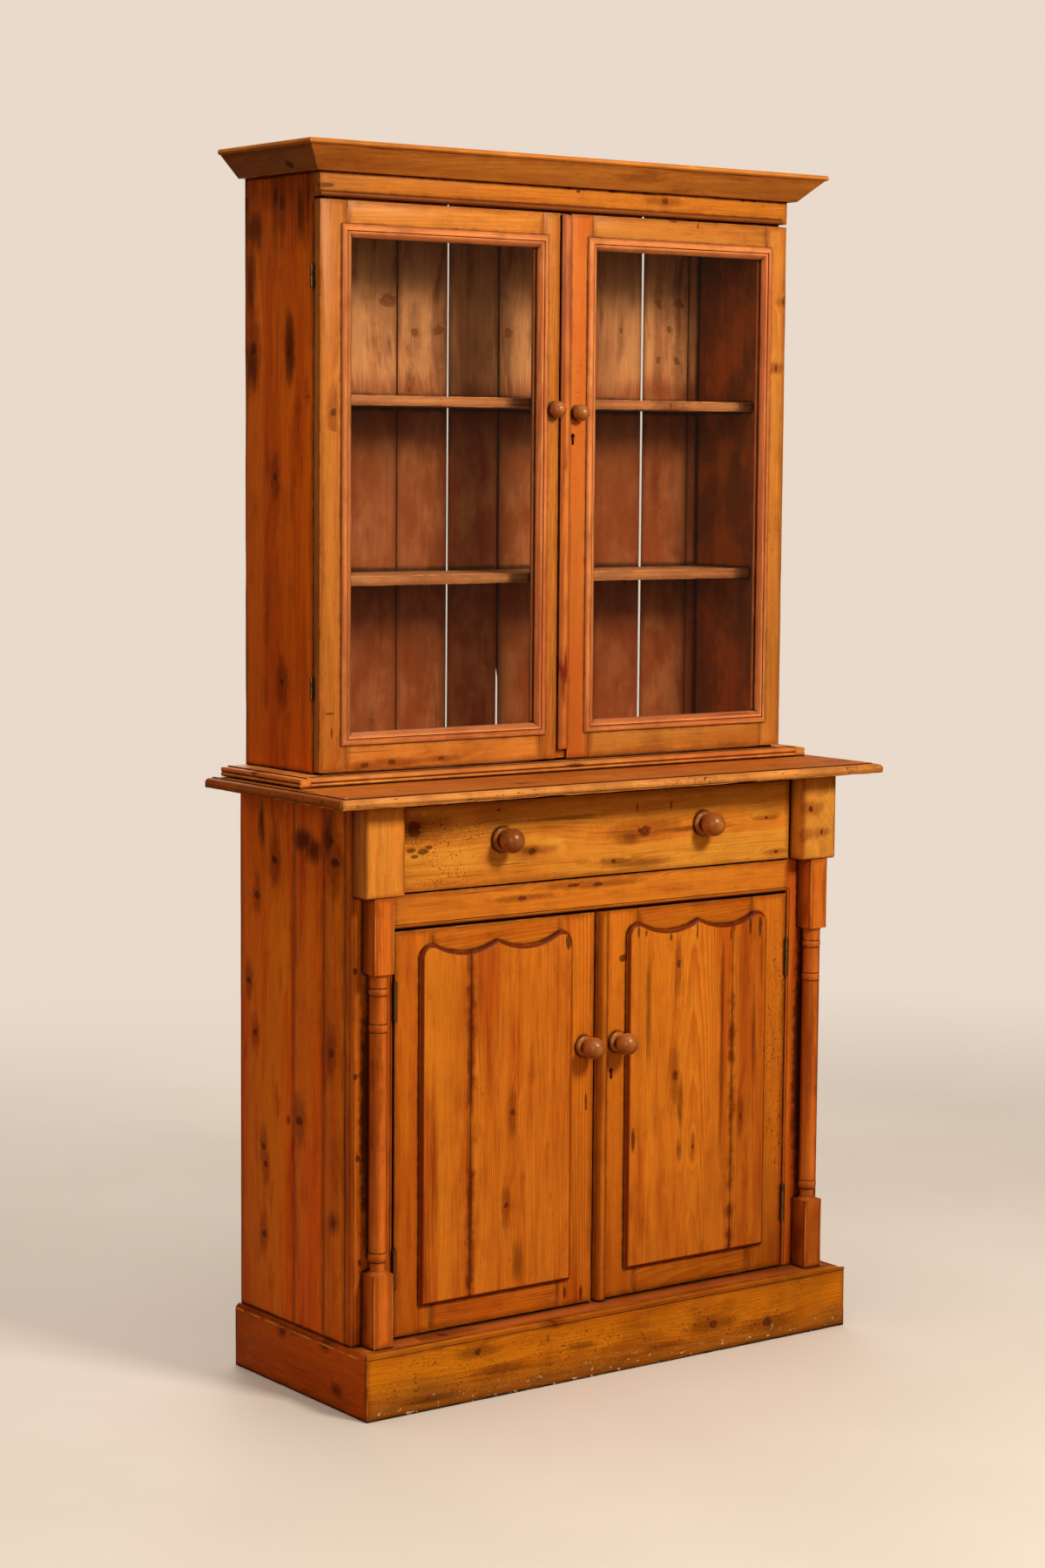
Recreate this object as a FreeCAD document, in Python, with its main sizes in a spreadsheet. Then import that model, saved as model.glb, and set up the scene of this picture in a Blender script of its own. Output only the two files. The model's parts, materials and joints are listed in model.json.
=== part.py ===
import FreeCAD, Part
import math
import os
from types import SimpleNamespace
import Sketcher
from FreeCAD import Placement, Rotation, Vector

# Step back cupboard in pine, in two parts. The lower case has one wide drawer over two doors with
# planted, shaped panels, between turned pilasters on a mitred plinth. The upper case stands back on
# the worktop behind two glazed doors, under a frieze and a canted cornice.
# Millimetres, +Z up. The origin is on the floor, midway between the sides and between the worktop's
# front edge and the back. The front faces -Y.

SIZES = {
    # Lower case
    "case_width": 1030,
    "case_depth": 350,
    "case_height": 1022,
    "side_thick": 20,
    "side_front_board": 65,
    "side_middle_board": 93,
    "housing_depth": 6,
    "back_thick": 12,
    "board_gap": 0.3,
    "bottom_thick": 18,
    "lower_shelf_height": 450,
    "lower_shelf_thick": 18,
    "lower_shelf_setback": 25,
    # Face frame
    "frame_thick": 20,
    "stile_width": 84.5,
    "corner_bead": 4.5,
    "stile_bead": 5.4,
    "rail_bead": 7.2,
    "quirk": 1.4,
    "top_rail_height": 10,
    "drawer_opening_height": 147,
    "drawer_rail_height": 59,
    # Plinth
    "plinth_height": 110,
    "plinth_projection": 68,
    "plinth_front_thick": 22,
    "plinth_end_thick": 12,
    "plinth_bead": 4.4,
    "plinth_bevel": 7,
    # Worktop
    "worktop_thick": 18,
    "worktop_nose": 83,
    "worktop_overhang": 70,
    "worktop_end_width": 32,
    "thumb_radius": 8,
    "thumb_width": 14,
    "thumb_step": 2,
    # Corner blocks and pilasters
    "block_width": 79.1,
    "block_inset": 2.7,
    "block_proud": 39.6,
    "block_height": 155,
    "block_side_round": 6,
    "block_foot_round": 4,
    "pilaster_square": 38,
    "pilaster_inset": 22,
    "pilaster_foot_height": 131,
    "pilaster_head_height": 132,
    "shaft_diameter": 30.5,
    "foot_neck_diameter": 27,
    "foot_neck_height": 15.5,
    "foot_ring_diameter": 34,
    "foot_ring_height": 15.5,
    "head_neck_diameter": 31.5,
    "head_neck_height": 18,
    "head_ring_diameter": 34,
    "head_ring_height": 13,
    "upper_shaft_height": 47,
    "band_diameter": 33,
    "band_height": 14,
    "shoulder_cut": 5,
    # Drawer
    "drawer_side_gap": 1,
    "drawer_foot_gap": 3,
    "drawer_head_gap": 2,
    "drawer_front_thick": 20,
    "drawer_front_proud": 4,
    "drawer_length": 316,
    "drawer_side_thick": 12,
    "drawer_side_height": 132,
    "drawer_bottom_thick": 8,
    "drawer_bottom_rise": 5,
    "drawer_groove": 6,
    "dovetail_length": 14,
    "dovetail_tip": 24,
    "dovetail_root": 19.4,
    "runner_gap": 0.3,
    "runner_width": 100,
    "runner_thick": 22,
    "runner_guide_height": 17,
    "drawer_knob_left": 213,
    "drawer_knob_right": 227,
    "drawer_knob_height": 77,
    # Lower doors
    "door_thick": 20,
    "door_foot_gap": 3,
    "door_head_gap": 3,
    "hinge_gap": 2.4,
    "meeting_edge": 2,
    "meeting_gap": 8,
    "meeting_lip": 6.5,
    "left_hinge_stile": 76,
    "left_meeting_stile": 75,
    "right_hinge_stile": 80,
    "right_meeting_stile": 88,
    "door_head_rail": 53,
    "door_foot_rail": 73,
    "strip_width": 21,
    "strip_proud": 8,
    "strip_edge": 2,
    # Planted door panels
    "panel_hinge_margin": 48.5,
    "panel_left_margin": 51,
    "panel_right_margin": 62,
    "panel_foot_margin": 47,
    "panel_head_margin": 26,
    "panel_proud": 9.5,
    "panel_round": 8.5,
    "panel_tongue": 12,
    "panel_play": 1,
    "panel_dip_share": 0.4,
    "panel_dip_drop": 18,
    "panel_peak_rise": 16,
    # Knobs and locks of the lower doors
    "lower_keyhole_inset": 11,
    "lower_keyhole_height": 407,
    "lower_knob_inset": 22,
    "lower_knob_rise": 50,
    # Upper case
    "upper_inset": 11,
    "upper_depth": 236,
    "upper_height": 1032,
    "upper_side_thick": 20,
    "upper_top_thick": 18,
    "upper_shelf_thick": 17,
    "upper_shelf_setback": 44.6,
    "low_shelf_height": 328,
    "high_shelf_height": 633,
    "post_width": 50,
    "back_first_board": 64,
    "back_board_pitch": 109.7,
    "back_board_bevel": 2,
    "base_thick": 18,
    "base_nose": 17,
    "base_overhang": 49.4,
    "base_end_width": 22.5,
    "reed_height": 8,
    "reed_depth": 2.4,
    "base_field_setback": 14,
    # Frieze and cornice
    "frieze_height": 78,
    "frieze_bead_height": 8.7,
    "frieze_bead_proud": 3.8,
    "frieze_bead_edge": 1.4,
    "frieze_bead_missing": 12,
    "cornice_rise": 37,
    "cornice_heel": 13,
    "cornice_projection": 48.5,
    "cap_thick": 10,
    "cap_projection": 53,
    "cap_lap": 14,
    # Upper doors
    "sash_thick": 19,
    "sash_foot_gap": 4.5,
    "sash_head_gap": 4,
    "sash_edge": 8,
    "sash_gap": 3.7,
    "sash_head_rail": 50,
    "sash_foot_rail": 54,
    "left_outer_stile": 53,
    "left_inner_stile": 36,
    "right_outer_stile": 46.5,
    "right_inner_stile": 68,
    "astragal_width": 20.8,
    "astragal_recess": 6,
    "astragal_proud": 6,
    "astragal_edge": 1.5,
    "astragal_foot_missing": 16.5,
    "astragal_head_gap": 3,
    "glazing_lap": 12,
    "glazing_proud": 5,
    "glazing_lip": 11,
    "glazing_lip_edge": 1.5,
    "glazing_bead": 4,
    "glazing_bead_proud": 3.2,
    "glass_depth": 5,
    "glass_thick": 3,
    "glass_play": 1,
    "stop_width": 10,
    "stop_bevel": 2,
    "upper_keyhole_inset": 6.6,
    "upper_keyhole_height": 563,
    "left_sash_knob_inset": 11.8,
    "left_sash_knob_rise": 45.5,
    "right_sash_knob_inset": 14.8,
    "right_sash_knob_rise": 40.5,
    # Keyholes and the locks behind them
    "keyhole_diameter": 9,
    "keyhole_drop": 15,
    "keyhole_slot": 5,
    "lock_width": 40,
    "lock_height": 60,
    "lock_thick": 10,
    # Hinges
    "lower_hinge_height": 68,
    "lower_hinge_foot": 84,
    "lower_hinge_head": 83,
    "upper_hinge_height": 37.5,
    "upper_hinge_foot": 121,
    "upper_hinge_head": 107,
    "hinge_barrel": 6,
    "hinge_pin": 3,
    "hinge_bore_play": 0.1,
    "hinge_set": 3.2,
    "leaf_thick": 1,
    "leaf_width": 18,
    "leaf_setback": 0.3,
    "knuckle_gap": 0.3,
    # How far a cutting shape runs past the wood
    "overcut": 1,
}

# Diameter and height of the ball, how far its middle stands out, and the disc, neck and peg of a knob
KNOBS = {
    "drawer_knob": {"ball": 43, "reach": 30, "disc": 43, "disc_thick": 8, "neck": 20, "peg": 12},
    "lower_knob": {"ball": 39, "reach": 31, "disc": 37, "disc_thick": 8, "neck": 18, "peg": 12},
    "upper_knob": {"ball": 29, "reach": 13.5, "disc": 23, "disc_thick": 3.6, "neck": 22, "peg": 9},
}
PEG_LENGTH = 13
LOWER_BACK_BOARDS = 6
DOVETAILS = 4
OPEN_BACK_JOINTS = (3, 7)
OPEN_JOINT_WIDTH = 2.4
QUARTER_ROUND = 1 - math.sqrt(0.5)

doc = FreeCAD.newDocument("step_back_cupboard")
sheet = doc.addObject("Spreadsheet::Sheet", "sizes")
nodes = []


class Size:
    """A length or a place, kept as the text of an expression on the sheet's cells."""

    def __init__(self, text):
        self.text = str(text)

    def __str__(self):
        return self.text

    def __add__(self, other):
        return Size(f"({self} + {other})")

    def __radd__(self, other):
        return Size(f"({other} + {self})")

    def __sub__(self, other):
        return Size(f"({self} - {other})")

    def __rsub__(self, other):
        return Size(f"({other} - {self})")

    def __mul__(self, other):
        return Size(f"({self} * {other})")

    def __rmul__(self, other):
        return Size(f"({other} * {self})")

    def __truediv__(self, other):
        return Size(f"({self} / {other})")

    def __neg__(self):
        return Size(f"(0 - {self})")

    def value(self):
        return float(sheet.evalExpression(self.text))


def root(size):
    return Size(f"sqrt({size})")


def fill_sheet():
    cells = dict(SIZES)
    for kind, knob in KNOBS.items():
        for name, length in knob.items():
            cells[f"{kind}_{name}_size"] = length
    cells["peg_length"] = PEG_LENGTH
    cells["open_joint_width"] = OPEN_JOINT_WIDTH
    for row, (name, length) in enumerate(cells.items(), start=1):
        sheet.set(f"A{row}", name)
        sheet.set(f"B{row}", str(length))
        sheet.setAlias(f"B{row}", name)
    doc.recompute()
    return SimpleNamespace(**{name: Size(f"sizes.{name}") for name in cells})


dim = fill_sheet()

# ---------------------------------------------------------------- how pieces are made


def bind(thing, name, size):
    thing.setExpression(name, str(size))


def place(thing, x=0, y=0, z=0, turn=None):
    """Puts a piece at a point worked out from the sheet, turned first where turn is given."""
    thing.Placement = Placement(Vector(), turn or Rotation())
    for axis, size in (("x", x), ("y", y), ("z", z)):
        bind(thing, f"Placement.Base.{axis}", size)
    return thing


def node(label, thing):
    """Names a finished sub-part; its label is the name of its file."""
    thing.Label = label
    nodes.append(thing)
    return thing


def board(x, y, z):
    """A plain board between two places along each axis."""
    box = doc.addObject("Part::Box", "Board")
    for name, (low, high) in (("Length", x), ("Width", y), ("Height", z)):
        bind(box, name, Size(high) - low)
    return place(box, x[0], y[0], z[0])


def mirrored(thing):
    """The same piece on the other side of the cupboard."""
    twin = doc.addObject("Part::Mirroring", "Mirrored")
    twin.Source = thing
    twin.Normal = Vector(1, 0, 0)
    return twin


def group(things):
    """Separate pieces that share one node."""
    bundle = doc.addObject("Part::Compound", "Group")
    bundle.Links = things
    return bundle


def cut(base, tools):
    """A piece with housings, grooves or holes taken out of it."""
    for tool in tools:
        result = doc.addObject("Part::Cut", "Cut")
        result.Base = base
        result.Tool = tool
        base = result
    return base


def fused(things):
    result = doc.addObject("Part::MultiFuse", "Fused")
    result.Shapes = things
    return result


def new_body():
    return doc.addObject("PartDesign::Body", "Body")


def new_sketch(body, plane, level=0):
    """A sketch on one of the body's own planes, moved along the plane's normal to a level."""
    sketch = body.newObject("Sketcher::SketchObject", "Sketch")
    support = next(item for item in body.Origin.OriginFeatures if item.Role == plane)
    sketch.AttachmentSupport = [(support, "")]
    sketch.MapMode = "FlatFace"
    bind(sketch, "AttachmentOffset.Base.z", level)
    return sketch


def arc_centre(start, end, step):
    """The centre of a step's arc: given, or found from the arc's height over its chord."""
    if len(step) == 4:
        return Size(step[2]), Size(step[3])
    run = end[0] - start[0]
    rise = end[1] - start[1]
    chord = root(run * run + rise * rise)
    reach = (chord * chord / 4 - Size(step[2]) * step[2]) / (2 * Size(step[2]))
    centre_x = (start[0] + end[0]) / 2 - rise * reach / chord
    centre_y = (start[1] + end[1]) / 2 + run * reach / chord
    return centre_x, centre_y


def draw(sketch, steps):
    """A closed outline, drawn anticlockwise.

    Each step is the next corner. A third value makes the way to it an arc of that height over its
    chord, hollow where it is negative; a third and a fourth are the arc's centre.
    """
    corners = [(Size(step[0]), Size(step[1])) for step in steps]
    points = [Vector(x.value(), y.value(), 0) for x, y in corners]
    first = sketch.GeometryCount
    ends = []
    centres = []
    for index, step in enumerate(steps):
        start, end = points[index - 1], points[index]
        if len(step) == 2:
            sketch.addGeometry(Part.LineSegment(start, end))
            ends.append((1, 2))
            continue
        size_x, size_y = arc_centre(corners[index - 1], corners[index], step)
        centre = Vector(size_x.value(), size_y.value(), 0)
        arm, far_arm = start - centre, end - centre
        from_angle = math.atan2(arm.y, arm.x)
        to_angle = math.atan2(far_arm.y, far_arm.x)
        turns_left = arm.cross(far_arm).z > 0 if len(step) == 4 else Size(step[2]).value() > 0
        if not turns_left:
            from_angle, to_angle = to_angle, from_angle
        circle = Part.Circle(centre, Vector(0, 0, 1), arm.Length)
        to_angle += 2 * math.pi * (to_angle < from_angle)
        sketch.addGeometry(Part.ArcOfCircle(circle, from_angle, to_angle))
        ends.append((1, 2) if turns_left else (2, 1))
        chord = end - start
        upright = abs(chord.y) >= abs(chord.x)
        centres.append((first + index, "DistanceX", size_x) if upright
                       else (first + index, "DistanceY", size_y))
    for index in range(len(steps)):
        after = (index + 1) % len(steps)
        sketch.addConstraint(Sketcher.Constraint("Coincident", first + index, ends[index][1],
                                                 first + after, ends[after][0]))
        for kind, size in zip(("DistanceX", "DistanceY"), corners[index]):
            hold(sketch, kind, first + index, ends[index][1], size)
    for geometry, kind, size in centres:
        hold(sketch, kind, geometry, 3, size)


def hold(sketch, kind, geometry, point, size):
    """Ties one coordinate of a sketch point to the sheet."""
    number = sketch.addConstraint(Sketcher.Constraint(kind, geometry, point, size.value()))
    sketch.setExpression(f"Constraints[{number}]", str(size))


def pad(body, plane, steps, length, level=0, both_ways=False, backwards=False):
    """Adds an outline's solid: XZ outlines grow towards -Y, YZ towards +X and XY towards +Z."""
    sketch = new_sketch(body, plane, level)
    draw(sketch, steps)
    feature = body.newObject("PartDesign::Pad", "Pad")
    feature.Profile = sketch
    feature.SideType = "Symmetric" if both_ways else "One side"
    feature.Reversed = backwards
    bind(feature, "Length", length)
    return feature


def pocket(body, plane, loops, length=None, level=0, forwards=False):
    """Cuts outlines out of a body, right through it where no length is given."""
    doc.recompute()
    before = body.Shape.Volume
    sketch = new_sketch(body, plane, level)
    for steps in loops:
        draw(sketch, steps)
    feature = body.newObject("PartDesign::Pocket", "Pocket")
    feature.Profile = sketch
    if length is None:
        feature.Type = "ThroughAll"
        feature.SideType = "Symmetric"
    else:
        feature.Reversed = forwards
        bind(feature, "Length", length)
    doc.recompute()
    if not body.Shape.Volume < before:
        raise ValueError(f"a pocket of {body.Label} cuts nothing")
    return feature


def turned(body, steps):
    """A turned form: its outline lies beside the sketch's upright axis."""
    plane = "XZ_Plane"
    sketch = new_sketch(body, plane)
    draw(sketch, steps)
    feature = body.newObject("PartDesign::Revolution", "Turned")
    feature.Profile = sketch
    feature.ReferenceAxis = (sketch, ["V_Axis"])
    feature.Angle = 360
    return feature


def edges_at(shape, spots):
    """Names of the edges that lie wholly at one of the given places, such as {"x": 0, "z": 18}."""
    names = []
    for number, edge in enumerate(shape.Edges, start=1):
        box = edge.BoundBox
        for spot in spots:
            lows = [abs(getattr(box, axis.upper() + "Min") - Size(size).value())
                    for axis, size in spot.items()]
            highs = [abs(getattr(box, axis.upper() + "Max") - Size(size).value())
                     for axis, size in spot.items()]
            if max(lows + highs) < 1e-4:
                names.append(f"Edge{number}")
                break
    return names


def rounded(body, spots, radius, sharp=()):
    """Rounds the edges of a body that lie at the given places in its own frame, but for the sharp ones."""
    doc.recompute()
    base = body.Tip
    kept = edges_at(base.Shape, sharp)
    feature = body.newObject("PartDesign::Fillet", "Round")
    feature.Base = (base, [name for name in edges_at(base.Shape, spots) if name not in kept])
    bind(feature, "Radius", radius)


def quarter(radius):
    """The height of a quarter round over its chord."""
    return radius * QUARTER_ROUND


def run(steps, inward, outward, length, mitred_end=True):
    """A length of moulding along +X from the origin, mitred there for a corner that turns away from
    -Y, and at its far end too unless that is square. The outline gives inward and upward places."""
    body = new_body()
    lead = outward + dim.overcut
    tail = lead if mitred_end else Size(0)
    pad(body, "YZ_Plane", steps, length + lead + tail, level=-lead)
    inner = inward + dim.overcut
    loops = [[(-lead - dim.overcut, -lead - dim.overcut), (inner, inner), (-lead - dim.overcut, inner)]]
    if mitred_end:
        loops.append([(length + lead + dim.overcut, -lead - dim.overcut),
                      (length + lead + dim.overcut, inner), (length - inner, inner)])
    pocket(body, "XY_Plane", loops)
    return body


# ---------------------------------------------------------------- main lines of the cupboard

half_case = dim.case_width / 2
half_inside = half_case - dim.side_thick
half_opening = half_case - dim.stile_width
total_depth = dim.case_depth + dim.worktop_nose
back = total_depth / 2
face = back - dim.case_depth
frame_back = face + dim.frame_thick
back_board_front = back - dim.back_thick
rail_head = dim.case_height - dim.top_rail_height - dim.drawer_opening_height
rail_foot = rail_head - dim.drawer_rail_height
block_foot = dim.case_height - dim.block_height
worktop_head = dim.case_height + dim.worktop_thick

half_upper = half_case - dim.upper_inset
half_upper_inside = half_upper - dim.upper_side_thick
upper_face = back - dim.upper_depth
upper_side_front = upper_face + dim.sash_thick + dim.hinge_gap
upper_foot = worktop_head + dim.base_thick
upper_head = upper_foot + dim.upper_height
frieze_foot = upper_head - dim.frieze_height
upper_shelf_front = upper_side_front + dim.upper_shelf_setback

# ---------------------------------------------------------------- lower case


def plank_row(joints, gap, y, z):
    """Upright boards side by side between joints across X, with a shadow gap at each inner joint."""
    planks = []
    for left, right in zip(joints[:-1], joints[1:]):
        low = left if left is joints[0] else left + gap / 2
        high = right if right is joints[-1] else right - gap / 2
        planks.append(board((low, high), y, z))
    return group(planks)


def lower_side():
    """Three upright boards glued edge to edge, housed for the bottom board and the shelf."""
    fronts = [frame_back, frame_back + dim.side_front_board,
              frame_back + dim.side_front_board + dim.side_middle_board, back]
    shelf_foot = dim.lower_shelf_height - dim.lower_shelf_thick
    housings = (
        (frame_back, dim.plinth_height - dim.bottom_thick, dim.plinth_height),
        (frame_back + dim.lower_shelf_setback, shelf_foot, dim.lower_shelf_height),
    )
    boards = []
    for start, end in zip(fronts[:-1], fronts[1:]):
        tools = []
        for front, foot, head in housings:
            tools.append(board((half_inside - dim.overcut, half_inside + dim.housing_depth),
                               (front, back_board_front), (foot, head)))
        plank = board((half_inside, half_case), (start, end), (0, dim.case_height))
        boards.append(cut(plank, tools))
    return group(boards)


def face_stile():
    """Front stile with a bead on its outer corner, and one along the door opening."""
    body = new_body()
    width, bead, quirk = dim.stile_width, dim.corner_bead, dim.quirk
    pad(body, "XY_Plane", [
        (0, 0),
        (width - bead - quirk, 0),
        (width - bead - quirk / 2, quirk),
        (width - bead, 0),
        (width, bead, quarter(bead)),
        (width, dim.frame_thick),
        (0, dim.frame_thick),
    ], dim.case_height)
    bead = dim.stile_bead
    pocket(body, "XY_Plane", [[
        (-dim.overcut, -dim.overcut),
        (bead + quirk, -dim.overcut),
        (bead + quirk, 0),
        (bead + quirk / 2, quirk),
        (bead, 0),
        (0, bead, -quarter(bead)),
        (-dim.overcut, bead),
    ]], rail_foot + dim.rail_bead - dim.plinth_height, level=dim.plinth_height, forwards=True)
    return place(body, half_opening, face, 0)


def beaded_rail():
    """Rail between the drawer and the doors, with a bead along its lower edge."""
    body = new_body()
    bead, quirk, height = dim.rail_bead, dim.quirk, dim.drawer_rail_height
    pad(body, "YZ_Plane", [
        (0, bead + quirk),
        (quirk, bead + quirk / 2),
        (0, bead),
        (bead, 0, quarter(bead)),
        (dim.frame_thick, 0),
        (dim.frame_thick, height),
        (0, height),
    ], 2 * half_opening, both_ways=True)
    return place(body, 0, face, rail_foot)


def bottom_board():
    """Cupboard floor, housed in the sides and notched round the front stiles."""
    body = new_body()
    wide = half_inside + dim.housing_depth
    deep = back_board_front - face
    pad(body, "XY_Plane", [
        (-half_opening, 0),
        (half_opening, 0),
        (half_opening, dim.frame_thick),
        (wide, dim.frame_thick),
        (wide, deep),
        (-wide, deep),
        (-wide, dim.frame_thick),
        (-half_opening, dim.frame_thick),
    ], dim.bottom_thick)
    return place(body, 0, face, dim.plinth_height - dim.bottom_thick)


def drawer_runner():
    """Runner with a guide strip that keeps the drawer straight."""
    body = new_body()
    top, reach = dim.runner_thick, dim.runner_width
    guide = reach - (half_inside - half_opening)
    pad(body, "XZ_Plane", [
        (0, 0),
        (reach, 0),
        (reach, top + dim.runner_guide_height),
        (guide, top + dim.runner_guide_height),
        (guide, top),
        (0, top),
    ], back_board_front - frame_back, backwards=True)
    foot = rail_head + dim.drawer_foot_gap - dim.runner_gap - dim.runner_thick
    return place(body, half_inside - dim.runner_width, frame_back, foot)


side = lower_side()
node("lower_side_right", side)
node("lower_side_left", mirrored(side))
stile = face_stile()
node("face_stile_right", stile)
node("face_stile_left", mirrored(stile))
node("drawer_rail", beaded_rail())
node("top_rail", board((-half_opening, half_opening), (face, frame_back),
                       (dim.case_height - dim.top_rail_height, dim.case_height)))
node("bottom_board", bottom_board())
node("lower_shelf", board((-half_inside - dim.housing_depth, half_inside + dim.housing_depth),
                          (frame_back + dim.lower_shelf_setback, back_board_front),
                          (dim.lower_shelf_height - dim.lower_shelf_thick, dim.lower_shelf_height)))
node("lower_back_boards", plank_row(
    [-half_inside + 2 * half_inside * share / LOWER_BACK_BOARDS
     for share in range(LOWER_BACK_BOARDS + 1)],
    dim.board_gap, (back_board_front, back),
    (dim.plinth_height - dim.bottom_thick, dim.case_height)))
runner = drawer_runner()
node("drawer_runners", group([runner, mirrored(runner)]))

# ---------------------------------------------------------------- plinth

plinth_front = face - dim.plinth_projection
plinth_side = half_case + dim.plinth_end_thick


def plinth_front_board():
    """Front of the plinth, beaded along its top edge and mitred to the ends."""
    body = new_body()
    bead, quirk = dim.plinth_bead, dim.quirk
    height, thick = dim.plinth_height, dim.plinth_front_thick
    pad(body, "YZ_Plane", [
        (0, 0),
        (thick, 0),
        (thick, height),
        (bead, height),
        (0, height - bead, quarter(bead)),
        (quirk, height - bead - quirk / 2),
        (0, height - bead - quirk),
    ], 2 * plinth_side, both_ways=True)
    pocket(body, "XY_Plane", [
        [(plinth_side, 0), (plinth_side + dim.overcut, 0), (plinth_side + dim.overcut, thick),
         (half_case, thick)],
        [(-plinth_side - dim.overcut, thick), (-plinth_side - dim.overcut, 0), (-plinth_side, 0),
         (-half_case, thick)],
    ])
    return place(body, 0, plinth_front, 0)


def plinth_end_board():
    """End of the plinth, planted on the case side, its top edge bevelled."""
    body = new_body()
    height, thick, bevel = dim.plinth_height, dim.plinth_end_thick, dim.plinth_bevel
    pad(body, "XZ_Plane", [
        (0, 0),
        (thick, 0),
        (thick, height - bevel),
        (thick - bevel, height),
        (0, height),
    ], back - plinth_front, backwards=True)
    pocket(body, "XY_Plane", [[
        (-dim.overcut, 0),
        (0, -dim.overcut),
        (thick, 0),
        (0, dim.plinth_front_thick),
        (-dim.overcut, dim.plinth_front_thick),
    ]])
    return place(body, half_case, plinth_front, 0)


node("plinth_front", plinth_front_board())
plinth_end = plinth_end_board()
node("plinth_ends", group([plinth_end, mirrored(plinth_end)]))
node("plinth_ledge", board((-half_case, half_case), (plinth_front + dim.plinth_front_thick, face),
                           (dim.plinth_height - dim.bottom_thick, dim.plinth_height)))

# ---------------------------------------------------------------- worktop

half_worktop = half_case + dim.worktop_overhang


def worktop_board():
    """Top of the lower case; a thumb mould runs along its front and the ends are mitred at the front."""
    body = new_body()
    thick, step, radius = dim.worktop_thick, dim.thumb_step, dim.thumb_radius
    pad(body, "YZ_Plane", [
        (0, 0),
        (total_depth, 0),
        (total_depth, thick),
        (dim.thumb_width, thick),
        (dim.thumb_width, thick - step),
        (radius, thick - step),
        (0, thick - step - radius, quarter(radius)),
    ], 2 * half_worktop, both_ways=True)
    inner = half_worktop - dim.worktop_end_width
    outer = half_worktop + dim.overcut
    past_back = total_depth + dim.overcut
    pocket(body, "XY_Plane", [
        [(outer, -dim.overcut), (outer, past_back), (inner, past_back),
         (inner, dim.worktop_end_width)],
        [(-outer, past_back), (-outer, -dim.overcut), (-inner, dim.worktop_end_width),
         (-inner, past_back)],
    ])
    return place(body, 0, -back, dim.case_height)


def worktop_end():
    """Strip nailed across the end of the worktop, with the same thumb mould."""
    body = new_body()
    thick, step, radius = dim.worktop_thick, dim.thumb_step, dim.thumb_radius
    width = dim.worktop_end_width
    pad(body, "XZ_Plane", [
        (0, 0),
        (width, 0),
        (width, thick - step - radius),
        (width - radius, thick - step, quarter(radius)),
        (width - dim.thumb_width, thick - step),
        (width - dim.thumb_width, thick),
        (0, thick),
    ], total_depth, backwards=True)
    pocket(body, "XY_Plane", [[
        (-dim.overcut, -dim.overcut),
        (width + dim.overcut, -dim.overcut),
        (-dim.overcut, width + dim.overcut),
    ]])
    return place(body, half_worktop - width, -back, dim.case_height)


node("worktop", worktop_board())
end = worktop_end()
node("worktop_ends", group([end, mirrored(end)]))

# ---------------------------------------------------------------- corner blocks and pilasters


def corner_block():
    """Block over the pilaster, beside the drawer, with its front corners and its foot rounded."""
    body = new_body()
    width, proud = dim.block_width, dim.block_proud
    pad(body, "XY_Plane", [(0, 0), (width, 0), (width, proud), (0, proud)], dim.block_height)
    rounded(body, [{"x": 0, "y": 0}, {"x": width, "y": 0}], dim.block_side_round)
    rounded(body, [{"z": 0}], dim.block_foot_round, sharp=[{"z": 0, "y": proud}])
    return place(body, half_case - dim.block_inset - width, face - proud, block_foot)


def pilaster():
    """Turned column left square at foot and head, with rings, necks and a band near the top."""
    body = new_body()
    height = block_foot - dim.plinth_height
    half = dim.pilaster_square / 2
    foot_neck = dim.foot_neck_diameter / 2
    head_neck = dim.head_neck_diameter / 2
    shaft = dim.shaft_diameter / 2
    foot = dim.pilaster_foot_height
    ring_foot = foot + dim.foot_neck_height
    shaft_foot = ring_foot + dim.foot_ring_height
    head = height - dim.pilaster_head_height
    ring_head = head - dim.head_neck_height
    shaft_head = ring_head - dim.head_ring_height
    band_head = shaft_head - dim.upper_shaft_height
    band_foot = band_head - dim.band_height
    shoulder = dim.shoulder_cut
    turned(body, [
        (0, foot - shoulder),
        (half, foot - shoulder),
        (foot_neck, foot),
        (foot_neck, ring_foot),
        (shaft, ring_foot),
        (shaft, shaft_foot, dim.foot_ring_diameter / 2 - shaft),
        (shaft, band_foot),
        (shaft, band_head, dim.band_diameter / 2 - shaft),
        (shaft, shaft_head),
        (shaft, ring_head, dim.head_ring_diameter / 2 - shaft),
        (head_neck, ring_head),
        (head_neck, head),
        (half, head + shoulder),
        (0, head + shoulder),
    ])
    square = [(-half, -half), (half, -half), (half, half), (-half, half)]
    pad(body, "XY_Plane", square, foot - shoulder)
    pad(body, "XY_Plane", square, height - head - shoulder, level=head + shoulder)
    return place(body, half_case - dim.pilaster_inset - half, face - half, dim.plinth_height)


block = corner_block()
node("corner_blocks", group([block, mirrored(block)]))
column = pilaster()
node("pilasters", group([column, mirrored(column)]))

# ---------------------------------------------------------------- knobs


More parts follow.
